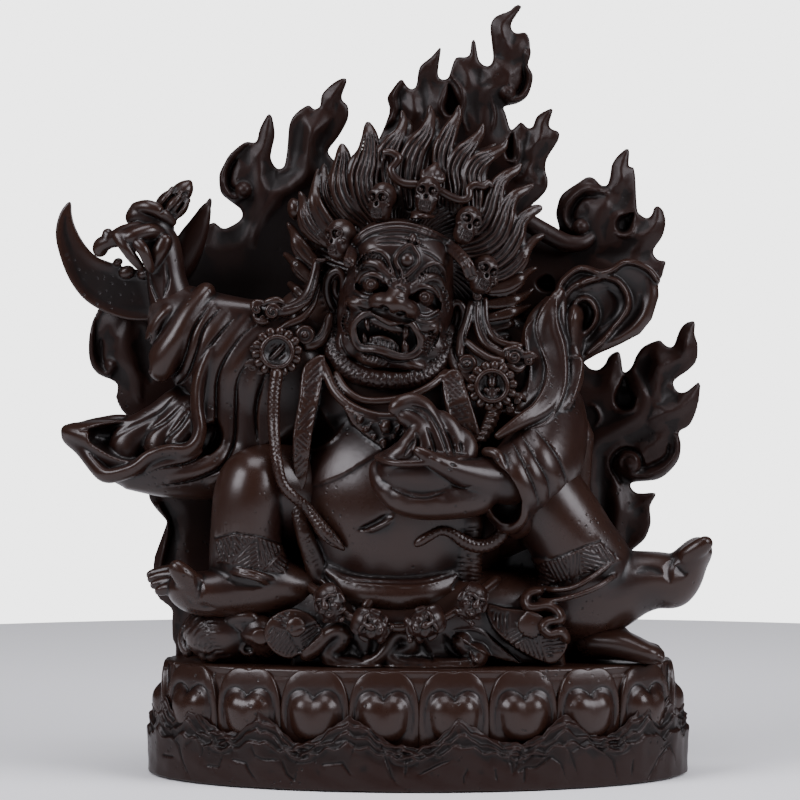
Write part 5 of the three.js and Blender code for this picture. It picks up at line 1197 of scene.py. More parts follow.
# The left hand holds a skull cup before the belly. The bowl is smooth bone, brim full, and what is in it stands
# up in a curling wave. The thumb lies along the rim, and the fingers close round the bowl from below.
cup = Clay((-14, -38, 62), (26, -12, 97), step=0.28)
cup.lump((1.6, 74.6, -26.6), (12.6, 8.6, 8.6), -0.06, 0)
cup.limb(drawn((377, 458, -31, 0.65), (396, 463, -35.2, 0.65), (430, 462, -36.2, 0.65), (458, 459, -33.6, 0.65),
    (471, 456, -29, 0.65)), 0.4, 8)
cup.limb(drawn((377, 455, -26, 0.8), (396, 451, -24, 0.8), (430, 450, -23.6, 0.8), (458, 452, -24.6, 0.8),
    (471, 455, -28, 0.8)), 0.6, 8)
cup.sheet([(-14, 78.6), (-14, 97), (26, 97), (26, 78.9)], -12, -38, 0.2, 0.3, cut=True)
cup.limb(drawn((377, 458.5, -31, 0.65), (396, 463.5, -35.2, 0.65), (430, 463, -36.2, 0.65), (458, 459.5, -33.6, 0.65),
    (471, 456, -29, 0.65)), 0.4, 8)
cup.lump((2, 77.6, -29), (11, 2.6, 6), -0.04, 0.8)
cup.limbs((
    ((444, 458, -28, 3.2, 3), (438, 440, -29, 2.6, 2.4), (432, 424, -28.6, 2, 2), (424, 408, -28, 1.7, 1.8),
        (411, 402, -28.4, 1.5, 1.5), (400, 405, -29.4, 1.3, 1.3), (394, 410, -29.8, 0.8, 0.8)),
    ((460, 458, -27, 3, 3), (455, 440, -27.4, 2.2, 2.2), (448, 426, -27.4, 1.7, 1.6), (440, 417, -27.4, 1.1, 1.1)),
    ((424, 458, -30, 3, 3), (424, 442, -30.4, 2, 2), (420, 428, -30.2, 1.5, 1.5), (410, 420, -30, 1.2, 1.2),
        (402, 416, -30, 0.8, 0.8)),
    ((404, 460, -31, 2.6, 2.4), (406, 448, -31.6, 1.7, 1.7), (413, 438, -31.4, 1.3, 1.3), (418, 430, -31, 1, 1)),
    ((392, 462, -30.6, 2.2, 2.2), (400, 455, -32, 1.6, 1.6), (410, 450, -32.4, 1.2, 1.2)),
    ((466, 456, -28.6, 1.8, 1.8), (468, 446, -27.6, 1.5, 1.4), (462, 434, -27, 1, 1)),
), 1.6, 6)
cup.sheet(smooth_path(drawn((378, 458), (390, 447), (401, 438), (404, 427), (397, 414), (396, 404), (408, 400),
    (422, 404), (434, 414), (446, 424), (453, 440), (469, 452), (462, 460), (420, 464)), 3, closed=True), -24, -28.6,
    0.8, 1.8)
cup.lines((
    ((448, 456), (443, 440), (436, 424), (426, 411), (412, 406)), ((436, 456), (432, 440), (427, 428)),
    ((416, 456), (418, 444), (416, 432)), ((455, 456), (450, 440), (444, 428)), ((404, 456), (410, 446), (416, 438)),
    ((462, 452), (460, 442)), ((428, 458), (430, 448)),
), 0.7, -0.65)
cup.carve(-26, -22)
cup.limb([(24, 72.8, -23, 6.2, 6.2), (19, 73, -25.6, 5.4, 5.2), (14, 72.4, -27.6, 5, 4.4), (10, 71, -28.6, 4.6, 4)],
    1.2)
cup.limb(drawn((476, 494, -27, 5.2, 4.6), (450, 502, -29.6, 3.9, 4), (422, 506, -30.6, 3, 3.6),
    (400, 502, -30, 2.5, 3.2), (385, 490, -28.6, 2.1, 2.6), (377, 476, -27, 1.5, 1.8), (375.5, 465, -26, 0.9, 1)),
    1.2, 6)
for u, v, y in ((384, 482, -29.6), (393, 490.5, -31.8), (404, 496, -33.2), (419, 500, -33.8), (434, 499, -33.6),
        (447, 493, -32.6)):
    cup.egg(u, v, y + 0.7, (2.1, 1.3, 1.3), 0.2, 1.8)
cup.limb(drawn((486, 480, -28.4, 4.6, 4), (468, 475, -31.6, 3.4, 3), (450, 468.5, -34.2, 2.3, 2.1),
    (436, 461.5, -35.6, 1.75, 1.5), (424, 454.5, -35.8, 1.2, 1.05), (416.5, 450, -35.6, 0.6, 0.55)), 0.8, 6)
cup.egg(434, 460, -37.4, (1.5, 0.6, 0.4), 0.52, 0.15)
cup.lines((
    ((392, 488), (406, 495), (426, 498), (448, 491)), ((450, 464), (456, 466)), ((447, 468), (452, 471)),
    ((450, 484), (462, 488), (472, 486)),
), 0.5, -0.4)
cup.carve(-30, -26)
cup.cast("cup_hand", most=40000)

# The head, thrown back a little to its left side, roaring: three staring eyes under bristling brows, a short wide
# nose, and an open mouth with four fangs. A curled beard runs along the jaw from ear to ear. One with the torso.
HEAD_TILT = 0.24
head = Clay((-26, -31, 93.5), (18.5, -1.5, 140), step=0.22)
head.egg(396, 304, -8.6, (14.5, 17.4, 14.4), HEAD_TILT, 0)
head.egg(391, 338, -11, (13.2, 10, 10.8), HEAD_TILT, 3)
head.egg(402, 257, -11.4, (12.8, 9.6, 10.4), HEAD_TILT, 3)
head.egg(387, 332, -15.6, (10.2, 7, 9), HEAD_TILT, 2.6)
for u, v, y, size, turn, blend in (
    (362, 304, -18.4, (4.4, 2.4, 4.2), 0.1, 1.4), (426, 325, -17.2, (4.4, 2.7, 4.2), 0.45, 1.4),
    (347, 347, -13.6, (3.4, 3.8, 4), 0.1, 2), (435, 350, -13.4, (3.4, 3.8, 4.2), 0.3, 2),
    (411, 364, -16.4, (5, 2.5, 4.6), 0.3, 1.2), (375, 360, -17.4, (4.6, 2.1, 4.2), 0.2, 1.2),
    (380, 250, -17.6, (4.6, 3, 3.8), 0.1, 2.2), (431, 263, -16.4, (4.4, 3, 3.8), 0.4, 2.2),
    (391, 293, -19, (3.2, 3, 4), 0.24, 2),
):
    head.egg(u, v, y, size, turn, blend)
LIPS = drawn((353, 334), (353.5, 325), (361, 316), (371, 311), (381, 316.5), (391, 322), (402, 319.5), (411, 322.5),
    (416, 330), (421.5, 339), (421, 349), (414, 355.5), (404, 358), (393, 356), (384, 352.5), (373, 350),
    (362.5, 349.5), (355.5, 343))
lips = head.seat([(*p, 0.72) for p in LIPS + LIPS[:1]], 0)
rims = [head.seat([(*p, 0.4) for p in drawn(*path)], 0.1) for path in (
    ((354, 268), (362, 256.5), (371, 251.5), (380, 251.5), (387, 257), (391, 266), (394, 277)),
    ((416, 277), (422, 270), (430, 264.5), (438, 263.5), (443.5, 269), (446, 279)),
    ((356, 291), (363, 296), (373, 297), (384, 294.5)), ((409, 307), (416, 313.5), (427, 316), (438, 310)),
    ((354, 297), (362, 300.5), (372, 301)), ((413, 317), (420, 321), (431, 322), (439, 317)),
)]
ridges = [head.seat(drawn(*path), 0.15) for path in (
    ((356, 276, 0.6), (360, 268.5, 0.9), (368.5, 263, 1.05), (378, 264.5, 1.1), (383, 270, 1.05), (390, 276, 1),
        (396.5, 283, 0.9)),
    ((403, 287.5, 0.9), (411, 288, 1), (418, 283.5, 1.05), (427, 278, 1.15), (436, 278.5, 1.05), (441, 285, 0.9),
        (443, 296, 0.6)),
    ((357, 281, 0.45), (362, 273.5, 0.6), (370, 270, 0.65), (378, 272, 0.65), (384, 278, 0.6), (391, 286, 0.45)),
    ((405, 292.5, 0.45), (412, 291, 0.6), (420, 286.5, 0.65), (430, 285, 0.65), (437.5, 290, 0.6), (441, 301, 0.4)),
)]
eye_frame = head.seat([(*p, 0.5) for p in drawn((411.6, 243.5), (404, 248), (397, 255), (396, 262), (400, 270),
    (403.8, 277), (411, 271.5), (418, 264), (418.5, 256), (414.6, 249.5), (411.6, 243.5))], 0.25)
finial = head.seat(drawn((411.6, 245, 0.5), (412.6, 239, 0.9), (413.4, 233.5, 0.4)), 0.2)
HEAD_MIDDLE = (-5.6, 117)
diadem = head.seat([(*p, 1.3) for p in drawn((349, 262), (354, 249), (361.5, 239), (372, 232), (386, 228.5),
    (403.5, 228), (425, 233.5), (447, 244.5), (465, 261.5), (471, 275))], 0.3)
for path in (((358, 289.5, 0.5), (363, 283.5, 1.9), (370, 281.5, 2.4), (378, 284, 2.1), (388.5, 293, 0.5)),
             ((405, 296, 0.5), (413, 291.5, 2), (423, 293, 2.8), (432, 298.5, 2.5), (438, 309, 0.6))):
    head.limb([(a, b, y + 0.6, r, 2.6) for a, b, y, r in head.seat(drawn(*path))], 0.35, 5, cut=True)
MOUTH = drawn((357, 333), (357, 325), (364, 318.5), (372, 316), (380, 321), (391, 326), (402, 324), (411, 327.5),
    (415.5, 335), (417, 345), (411, 351.5), (402, 353), (392, 350), (382, 346), (371, 345), (361.5, 343.5))
head.sheet(smooth_path(MOUTH, 4, closed=True), -16.2, -40, 0.4, 0.3, cut=True)
head.limb(lips, 0.35, 4)
for rim in rims:
    head.limb(rim, 0.35, 5)
for ridge in ridges:
    head.limb(ridge, 0.5, 5)
head.limb(drawn((368, 318, -20.2, 0.9), (381, 323, -21.4, 1), (393, 328, -21.4, 1), (406, 330, -20.2, 0.9)), 0.4, 5)
head.limb(drawn((364, 345, -17.6, 1.2), (376, 344, -18.8, 1.5), (388, 347, -19, 1.5), (402, 352, -18, 1.2)), 0.5, 5)
head.limb(drawn((369, 338.5, -18.6, 0.4), (379, 337.5, -20, 0.5), (389, 340, -20.4, 0.5), (399, 346.5, -19.4, 0.4)),
    0.4, 5)
for k in range(7):
    u, v, y = 372 + 4.6 * k, 322.5 + 1.5 * k, -20.6 - 1.0 * math.sin(0.5 * k)
    head.limb(drawn((u, v - 2, y, 0.55, 0.6), (u - 0.5, v + 2.6, y + 0.1, 0.42, 0.45)), 0.1, 2)
    head.limb(drawn((u - 1, v + 18.6, y + 0.9, 0.5, 0.55), (u - 1, v + 15.6, y + 0.9, 0.36, 0.4)), 0.1, 2)
head.limbs((
    ((367, 318, -20.6, 0.85), (367.5, 325, -21.4, 0.65), (368.5, 331, -21.2, 0.2)),
    ((406, 327, -21, 0.95), (405.5, 334, -21.6, 0.75), (404, 340.5, -21.2, 0.2)),
    ((364.5, 346, -18.8, 0.85), (364.5, 339, -19.8, 0.65), (363.5, 332.5, -19.8, 0.2)),
    ((405.5, 353, -19.6, 1), (405, 345.5, -20.8, 0.8), (403.6, 339.5, -20.8, 0.2)),
), 0.12, 4)
head.limb(drawn((402, 283, -21.6, 1.2), (400.5, 289, -22.8, 1.5), (397.5, 295, -24, 1.9), (395, 301, -24.8, 2)), 1.4)
head.limb(drawn((373, 304, -21.6, 1), (379.5, 301, -23.2, 1.45), (387, 302, -24.2, 1.5), (394.5, 303, -25.2, 1.9),
    (402, 306.5, -24.2, 1.5), (409, 310, -23, 1.45), (414, 315, -20.6, 0.9)), 1.3, 5)
for u, v, y in ((385.5, 308.5, -25), (400.5, 313.5, -24.6)):
    head.egg(u, v, y, (1.5, 0.9, 2.2), HEAD_TILT, 0.3, cut=True)
head.limb(drawn((374, 309.5, -22.8, 0.8), (386, 313.5, -24.2, 1), (399, 318.5, -24, 1), (411, 320, -22.4, 0.7)), 0.5,
    cut=True)
for u, v, y, r in ((371, 284.4, -21, 2.15), (424.6, 297.4, -20.2, 2.35)):
    head.egg(u, v, y, (r, r, r + 0.1), 0, 0.12)
    a, b = drawn((u, v))[0]
    head.ring((a, b), y - r * 0.88 - 0.1, 0.48 * r, (0.27,), 0.1)
    head.lump((a, b, y - r - 0.05), (0.42, 0.42, 0.34), 0, 0.1)
head.limbs((
    ((359.5, 283, -20, 0.45), (363.5, 277, -21.6, 0.55), (371.5, 274.4, -22.4, 0.6), (380, 277.5, -22.2, 0.6),
        (386, 286, -21, 0.45)),
    ((411, 295, -20.8, 0.45), (415.5, 289, -21.8, 0.6), (424.5, 286.6, -22, 0.6), (433, 289.5, -21, 0.55),
        (438, 297, -19.2, 0.4)),
), 0.3, 6)
head.egg(407, 260.5, eye_frame[2][2] - 0.4, (1.9, 3, 1.7), HEAD_TILT, 0.3, cut=True)
head.limb(eye_frame, 0.25, 4)
head.egg(407, 259.8, eye_frame[2][2] + 1.5, (2, 2, 2), 0, 0.12)
head.limb(finial, 0.25, 4)
for side in (-1, 1):
    (a, b), y = drawn((412.4 + 6.5 * side, 243 + 1.5 * side))[0], finial[1][2]
    head.limb([(a - side * 0.9, b - 0.7, y + 0.2, 0.45), (a, b, y - 0.2, 0.6),
        (a - side * 0.2, b + 0.9, y - 0.1, 0.4)], 0.2, 4)
for shift, size, proud in ((0, 1.5, 0), (1.05, 0.55, 1), (0, 0.55, 1.35), (-1.05, 0.55, 1)):
    line = []
    for a, b, y, _ in diadem:
        away = np.subtract((a, b), HEAD_MIDDLE)
        away = away / math.hypot(*away)
        line.append((a + away[0] * shift, b + away[1] * shift, max(y, -23.4) - proud, size))
    head.limb([(*p, p[3] * (0.55 if size > 1 else 1)) for p in line], 0.2, 5)
BEARD = drawn((332, 318, -8.8, 1.4), (329.5, 334, -11, 1.8), (333.5, 352, -13.4, 2.1), (345, 367, -15.6, 2.2),
    (362, 376, -17.2, 2.2), (384, 380, -18, 2.2), (406, 380, -18, 2.2), (425, 375, -17, 2.2), (439, 363, -14.8, 2.1),
    (447, 346, -12.2, 1.9), (451, 330, -9.6, 1.4))
head.limb(BEARD, 0.8, 6)
curl_lines = []
beard_line = smooth_path(BEARD, 7)
jaw = np.array(drawn((393, 312))[0])
for k, (a, b, y, r) in enumerate(beard_line[2:-1:2]):
    outward = np.array([a, b]) - jaw
    outward = outward / np.hypot(*outward)
    aside = np.array([-outward[1], outward[0]])
    for row in (-1, 0, 1):
        c = np.array([a, b]) + outward * (row * 1.15) + aside * (0.42 * (row % 2))
        bend = 1 if (k + row) % 2 else -1
        curl_lines.append([c - outward * 0.42, c + outward * 0.1 + aside * 0.32 * bend, c + outward * 0.5,
            c + outward * 0.3 - aside * 0.34 * bend])
head.limbs((
    ((340, 318, -7.4, 0.75), (331, 306, -8.6, 0.9), (326.5, 291, -9.6, 1), (328.5, 277, -10.4, 1.05),
        (337, 270.5, -11.2, 0.95), (343, 277, -11.8, 0.85), (343, 291, -11.6, 0.7)),
    ((447, 339, -7.8, 0.7), (455, 335, -8.8, 0.8), (461.5, 324, -9.8, 0.9), (463.5, 311, -10.4, 0.95),
        (459, 302.5, -10.8, 0.85), (453, 304, -11, 0.7), (450, 313, -11, 0.55)),
    ((341, 302, -8.6, 0.6), (335, 291, -9.4, 0.7), (336, 281, -9.8, 0.6)),
    ((452, 331, -8.6, 0.5), (456.5, 322, -9.4, 0.55), (457, 312, -9.8, 0.5)),
), 0.3, 6)
head.egg(335, 292, -6.6, (3, 5.4, 2.2), 0.12, 0.4)
head.egg(456, 320, -7.2, (2.2, 4.6, 2), 0.32, 0.4)
CREASES = (
    ((356, 306), (365, 310), (374, 309.5)), ((418, 331), (427, 334), (437, 329)), ((346, 300), (349, 311), (349, 323)),
    ((440, 322), (438, 336), (431, 348)), ((399, 267), (401, 279)), ((390, 259), (396, 271), (399, 283)),
    ((395, 286.5), (406, 290)), ((357, 352), (368, 353.5), (380, 356), (392, 361), (404, 361.5), (416, 359)),
    ((372, 369), (384, 369), (394, 371), (406, 371), (418, 369)), ((372, 241), (392, 239), (410, 242), (430, 249)),
    ((376, 244), (392, 243), (404, 245)), ((420, 250), (432, 256), (443, 264)),
    ((341, 332), (342, 344), (350, 357), (364, 366)), ((349, 312), (343, 322), (346, 332)), ((372, 292), (380, 291)),
)
head.lines(CREASES, 0.5, -0.45, (0.2, 0.2))
GOLDEN, GOLDEN_REST = 0.618, 0.382
hairs = []
for area, spans, rows, lean in (
    (((358, 268), (364, 259), (374, 256), (383, 260), (388, 270)), 1.2, 16, 0.4),
    (((420, 280), (428, 271.5), (436, 269.5), (441, 276)), 1.2, 13, 0.8),
    (((346, 318), (345, 328), (348, 338)), 2.2, 14, 1.4), (((433, 334), (431, 344), (424, 352)), 2.4, 14, 1.6),
    (((366, 357), (376, 361), (388, 365)), 1.5, 13, 1), (((393, 279), (400, 282), (410, 281)), 1.4, 9, 1.5),
    (((444, 290), (446, 300), (447, 312)), 1, 9, 1.3),
):
    line = smooth_path(drawn(*area), 6)
    for i in range(rows * 2):
        a, b = line[int((len(line) - 1) * i / (rows * 2 - 1))]
        b = b + spans * 0.5 * ((i * GOLDEN) % 1.0 * 2 - 1)
        a = a + spans * 0.3 * ((i * GOLDEN_REST) % 1.0 * 2 - 1)
        turn = lean + 0.8 * math.sin(2.4 * i)
        hairs.append([(a, b), (a + 0.36 * math.cos(turn), b + 0.36 * math.sin(turn)),
            (a + 0.5 * math.cos(turn + 1.1), b + 0.5 * math.sin(turn + 1.1) + 0.2)])
head.face.press(hairs, 0.26, -0.4, (0.8, 0.3), 0)
head.face.press(curl_lines, 0.26, -0.27, (0.8, 0.3), 0)
head.lines((((388, 282), (392, 287), (397, 290)), ((405, 292), (400, 290)), ((404, 299), (396, 297))), 0.35, -0.3)
head.carve(-12, -7)
head.cast("head", most=115000)

# The hair stands up in flames round the crown: 26 broad locks that rise from the crown's band, bend in an S
# and end in free tips. Each is combed into strands that run its whole length. They are one with the casting.
mane = Clay((-38, -17, 95), (34, 5, 168), step=0.24)
mane.egg(409, 262, 0, (24, 24, 9.4), 0, 0)
mane.egg(409, 236, -4, (19, 19, 8.6), 0, 3)
mane.egg(470, 330, -1, (14, 16, 7), 0, 3)
mane.egg(322, 330, -1, (13, 12, 7), 0, 3)
combed = mane.face
across, up = [m - c for m, c in zip((combed.u[:, None], combed.v[None, :]), drawn((404, 262))[0])]
ray = np.arctan2(across, up) + 0.12 * np.sin(np.hypot(across, up) / 5)
combed.height -= 0.5 * (0.5 + 0.5 * np.cos(ray * 84)) ** 3 * eased(-np.hypot(across, up), -25, -21)
# Each lock from its tip to its root: across, down and half width on the sketch, then the depth of its middle
LOCKS = (
    (((290, 284, 3), (297, 290, 3.4), (305, 298, 3)), -7.4),
    (((285, 254, 2), (292, 260, 3.6), (301, 269, 4.8), (313, 281, 4)), -7.8),
    (((533, 289, 1.5), (524, 296, 3.4), (512, 301, 4.8), (496, 304, 4.8), (482, 304, 3)), -8.2),
    (((526, 318, 1.5), (514, 323, 3.2), (500, 327, 3.8), (482, 331, 3)), -7.4),
    (((520, 334, 1.5), (508, 338, 3), (486, 342, 3)), -7.4),
    (((324, 165, 1.6), (324, 180, 6), (327, 198, 8), (337, 214, 8), (352, 230, 5)), -7.6),
    (((437, 118, 1.5), (437, 130, 3.8), (432, 143, 5.4), (426, 155, 6), (422, 176, 5)), -8),
    (((409, 121, 1.5), (410, 131, 3.2), (405, 143, 5), (397, 158, 6), (397, 178, 5)), -8),
    (((496, 144, 1.2), (484, 151, 3.2), (472, 157, 4.6), (464, 168, 5), (465, 188, 4)), -8.2),
    (((354, 156, 2), (354, 170, 5.6), (355, 188, 7), (362, 205, 6.4), (374, 221, 4)), -8),
    (((536, 268, 1.5), (528, 272, 3.2), (518, 280, 4.8), (506, 286, 5.4), (490, 290, 4)), -9),
    (((530, 306, 2), (520, 310, 3.8), (506, 314, 4.8), (482, 320, 3)), -8.8),
    (((288, 223.5, 1.5), (293, 231, 3.6), (298, 242, 5.4), (307, 254, 6), (318, 266, 4)), -8.4),
    (((300, 192.5, 1.5), (304, 203, 5), (307, 215, 7), (314, 228, 7), (328, 243, 5)), -8.6),
    (((318, 170, 1.6), (315, 190, 4.2), (317, 205, 6), (327, 222, 6.4), (342, 238, 5)), -8.8),
    (((402, 111.5, 1.5), (403.5, 122, 3.6), (400, 133, 5.6), (391, 146, 8.4), (386, 160, 10.6), (386, 178, 10),
        (392, 200, 8)), -9),
    (((430, 106.5, 1.5), (430.5, 118, 4.2), (426, 133, 7.4), (416, 147, 9.6), (410, 162, 11), (408, 182, 10),
        (410, 206, 8)), -9.2),
    (((459, 106.5, 1.5), (457, 117, 4.2), (450, 131, 7.2), (444, 145, 8.4), (441, 160, 8), (442, 180, 7),
        (440, 204, 7)), -9),
    (((342, 146, 2.6), (343, 158, 7.4), (341, 175, 9.6), (343, 192, 11), (352, 208, 10.6), (367, 223, 7)), -9.2),
    (((368, 124, 2.6), (370, 139, 8), (368, 160, 12), (364, 180, 13.4), (368, 200, 12.4), (380, 220, 9)), -9.8),
    (((483, 124.5, 1.2), (480, 134, 3.8), (471, 145, 6.8), (461, 156, 8.4), (455, 171, 8.6), (457, 190, 8),
        (456, 208, 6)), -9.4),
    (((507, 139.5, 1.2), (502, 148, 3.8), (490, 155, 6.2), (478, 163, 8), (472, 176, 8.4), (474, 193, 8),
        (474, 214, 6)), -9.8),
    (((543.5, 235, 1.5), (534, 240, 3.8), (525, 250, 5.4), (516, 262, 6.6), (503, 272, 7), (484, 278, 5)), -9.6),
    (((521, 164, 1.2), (516, 170, 3.4), (506, 176, 5.4), (498, 185, 7), (494, 200, 7.6), (489, 216, 8.6),
        (478, 230, 9), (462, 237, 7)), -10),
    (((539.5, 208, 3.2), (530, 212.5, 5), (520, 222, 7), (514, 237, 8.4), (504, 252, 9.2), (490, 262, 8.4),
        (470, 267, 5)), -10.2),
    (((533, 185, 1.5), (526, 189.5, 3.4), (514, 196, 5.6), (507, 207, 7.6), (503, 222, 9), (495, 237, 10),
        (480, 247, 9.4), (458, 251, 6)), -10.6),
)
LOCK_MIDDLE, LOCK_SPREAD = -9, 1.5
for spots, depth in LOCKS:
    line = smooth_path(drawn(*spots), 7)
    share = np.concatenate([[0], np.cumsum(np.hypot(*np.diff(line[:, :2], axis=0).T))])
    share = share / share[-1]
    half = line[:, 2] / SKETCH_SCALE * (1.04 + 0.08 * eased(share, 0.2, 0.5))
    depth = LOCK_MIDDLE + LOCK_SPREAD * (depth - LOCK_MIDDLE)
    back = depth + 5.2 * (1 - eased(share, 0, 0.45)) - 0.8 * eased(share, 0.5, 1)
    mane.limb([(a, b, y, h, max(0.5 * h, 0.45)) for (a, b, _), y, h in zip(line, back, half)], 0.25, 0)
    under = half * (1 + 0.4 * eased(share, 0.25, 0.6))
    mane.limb([(a, b, y + 2, h, max(0.3 * h, 0.4)) for (a, b, _), y, h in zip(line, back, under)], 0.4, 0)
    spans, away, along = combed.near(line, 4)
    wide = np.interp(along, share, half)
    strand = 0.5 + 0.5 * np.cos(2 * math.pi * max(1, round(half.max() * 0.8)) * away / np.maximum(wide, 0.3))
    combed.height[spans] = np.where(away < wide, -0.85 * strand**2.4 * eased(wide, 1, 2.4) * eased(wide - away, 0.1,
        0.9), combed.height[spans])
mane.carve(-6, 0)
mane.egg(294, 209, -3.4, (1.7, 2.8, 2.6), -0.1, 0.5)
mane.egg(547, 284, -3, (1.6, 1.9, 5), 0.3, 0.3, cut=True)
mane.cast("flame_hair", most=150000)

# A crown skull is one small form made five times: a round cranium, deep eye sockets, a nose gap and a toothed jaw.
# The centre one stands on two rings and carries a lotus bud, and its two ribbons fly out to the sides.
skull = Clay((-4.2, -5.6, -6.2), (4.2, 4.2, 5.6), step=0.17)
skull.lump((0, 1.2, -0.4), (3.1, 3.4, 4), 0, 0)
skull.limb([(0, -1.6, -1.6, 2.2, 2.4), (0, -3.6, -1.8, 1.75, 2)], 1.2)
for side in (-1, 1):
    skull.lump((side * 1.5, 0.7, -3.6), (1.2, 1.15, 1.7), side * 0.2, 0.3, cut=True)
    skull.limb([(side * 1.5 + 1.15 * math.cos(t), 0.7 + 1.15 * math.sin(t), -3.5 + 0.5 * abs(math.cos(t)), 0.26)
                for t in np.linspace(0, 6.283, 17)], 0.15, 0)
    skull.lump((side * 1.5, 0.65, -2.9), (0.75, 0.72, 1), 0, 0.1)
    skull.limb([(side * 0.3, 1.9, -3.7, 0.32), (side * 1.4, 2.1, -3.9, 0.36), (side * 2.5, 1.3, -3, 0.32)], 0.3, 4)
    skull.lump((side * 2.2, -1.2, -2.7), (0.8, 0.6, 0.8), 0, 0.4)
skull.lump((0, -0.9, -4.2), (0.5, 0.65, 1), 0, 0.15, cut=True)
skull.face.press([[(-1.4, -2.9), (0, -3.3), (1.4, -2.9)],
    *[[(t, -2.2), (t * 0.95, -4.1)] for t in (-1.2, -0.7, -0.25, 0.25, 0.7, 1.2)]], 0.26, -0.4, (0.9, 0.9), 1)
skull.carve(-3, -1.5)


def hung_at(rows):
    """Spots, turns, leans and growths from rows of across, down, back, turn, lean and growth."""
    u, v, back, turn, lean, growth = zip(*rows)
    spots = [(a, y, b) for (a, b), y in zip(drawn(*zip(u, v)), back)]
    return {"spots": in_depth(np.array(spots)), "turn": turn, "lean": lean, "growth": growth}


SKULLS_AT = (
    (343, 238, -14.2, -0.75, -0.10, 0.02), (384, 201, -13.8, -0.45, 0.05, 0), (428, 194, -13.6, -0.10, 0.14, -0.02),
    (466, 224, -13.4, 0.28, 0.42, 0), (482, 273, -12.4, 0.35, 0.45, 0),
)
cast("crown_skulls", repeated("crown_skulls", skull.as_model("model_skull", 0.4), **hung_at(SKULLS_AT)), most=30000,
    rounds=4)
crest = Clay((-9, -19, 138), (20, -4, 156), step=0.22)
crest.limb(drawn((422, 216, -14.6, 2.2, 2.2), (420, 221, -15, 2.7, 2.4)), 0.2, 3)
for u, v, width in ((423, 214.5, 2.5), (420, 222.5, 2.95)):
    crest.limb(drawn((u - width * 4, v - 1.2, -15, 0.6), (u, v + 1.2, -17.2, 0.6),
        (u + width * 4, v + 2.4, -15, 0.6)), 0.2, 6)
crest.limb(drawn((430, 182, -13, 1.7, 1.7), (432, 177, -13, 2.4, 2), (434, 172, -12.6, 1.7, 1.6),
    (436, 164, -12, 0.5, 0.5)), 0.4, 5)
for k in range(5):
    u = 424 + 4.4 * k
    crest.limb(drawn((432 + (u - 432) * 0.5, 181, -14.4, 0.7), (u, 177 + k * 0.6, -14.8 + 0.5 * abs(k - 2), 0.9),
        (433 + (u - 433) * 1.12, 171 + k * 0.8, -14.0 + 0.5 * abs(k - 2), 0.5)), 0.25, 4)
crest.limbs((
    ((416, 184.5, -13.5, 1.1), (404, 183.5, -13.2, 1.05), (395, 178, -13, 1), (391, 169.5, -12.6, 0.95),
        (396.5, 162, -12.2, 0.95), (398, 157, -12, 0.95), (391, 152.5, -11.8, 0.95), (383, 153, -11.4, 0.8),
        (384, 158, -11.2, 0.6)),
    ((440, 191, -13.4, 1.1), (452, 197.5, -13.2, 1.05), (463, 200.5, -13, 1), (469, 196, -12.6, 0.95),
        (469, 189, -12.2, 0.95), (475, 184.8, -12, 0.95), (483, 186, -11.6, 0.95), (488, 182.5, -11.2, 0.7),
        (492, 186, -11, 0.5)),
), 0.2, 6)
crest.cast("crown_crest", most=12000)

# The two round earrings, each a ring set in a wreath of small petals, with scrolls of leaf at their sides and a
# boss above. Their ribbons fall from the temples. All of it is modelled on the casting, a few millimetres proud.
WREATH_PETALS = 14


def scroll(centre, size, back, start=0.0, turns=1.4, thick=0.55):
    """Stations of a small spiral in the front drawing, from its outer end to its eye."""
    a, b = drawn(centre)[0]
    return [(a + size * (1 - 0.8 * t) * math.cos(start + 6.28 * turns * t),
        b + size * (1 - 0.8 * t) * math.sin(start + 6.28 * turns * t), back - 0.5 * t, thick * (1 - 0.3 * t))
        for t in np.linspace(0, 1, 11)]


left_ear = Clay((-48, -25, 96), (-20, -6, 128), step=0.26)
right_ear = Clay((5, -27, 82), (33, -6, 128), step=0.26)
for clay, centre, back in ((left_ear, (277, 352), -17.4), (right_ear, (492, 386), -20.4)):
    a, b = drawn(centre)[0]
    clay.lump((a, b, back + 1.6), (5.8, 5.8, 2.6), 0, 0)
    clay.lump((a, b, back - 2), (3.6, 3.6, 2.6), 0, 0.3, cut=True)
    clay.ring((a, b), back - 1.3, 3.85, (0.62, 0.8), 0.25, 25)
left_ear.limbs((
    ((270, 360, -16.9, 0.8), (280, 350, -17.3, 0.8), (287, 342, -16.9, 0.7)),
    ((268, 350, -16.6, 0.7), (274, 345, -16.8, 0.7), (281, 341, -16.6, 0.6)),
    ((276, 362, -16.6, 0.7), (284, 356, -16.8, 0.7), (289, 350, -16.6, 0.6)),
), 0.2, 4)
right_ear.egg(492, 381, -20.2, (1.3, 1.9, 1.3), 0, 0.4)
right_ear.egg(492, 394, -20.2, (1.9, 1.9, 1.5), 0, 0.4)
for u, v, r in ((489, 374, 0.7), (495, 374, 0.7), (492, 396, 0.8), (486, 390, 0.7), (498, 390, 0.7), (492, 384, 0.9)):
    right_ear.egg(u, v, -21.2, (r, r, 0.7), 0, 0.15)
for clay, u, v, back, size in ((left_ear, 305, 335, -15.8, 2.1), (right_ear, 467, 364, -18.2, 2.1)):
    a, b = drawn((u, v))[0]
    clay.lump((a, b, back + 1.2), (size + 0.5, size + 0.4, 2.4), 0, 0.4)
    clay.ring((a, b), back - 0.5, size * 0.86, (0.55,))
    clay.lump((a, b, back - 0.9), (0.85, 0.85, 0.9), 0, 0.15)
right_ear.egg(467, 364, -20, (0.5, 0.5, 0.8), 0, 0.1, cut=True)
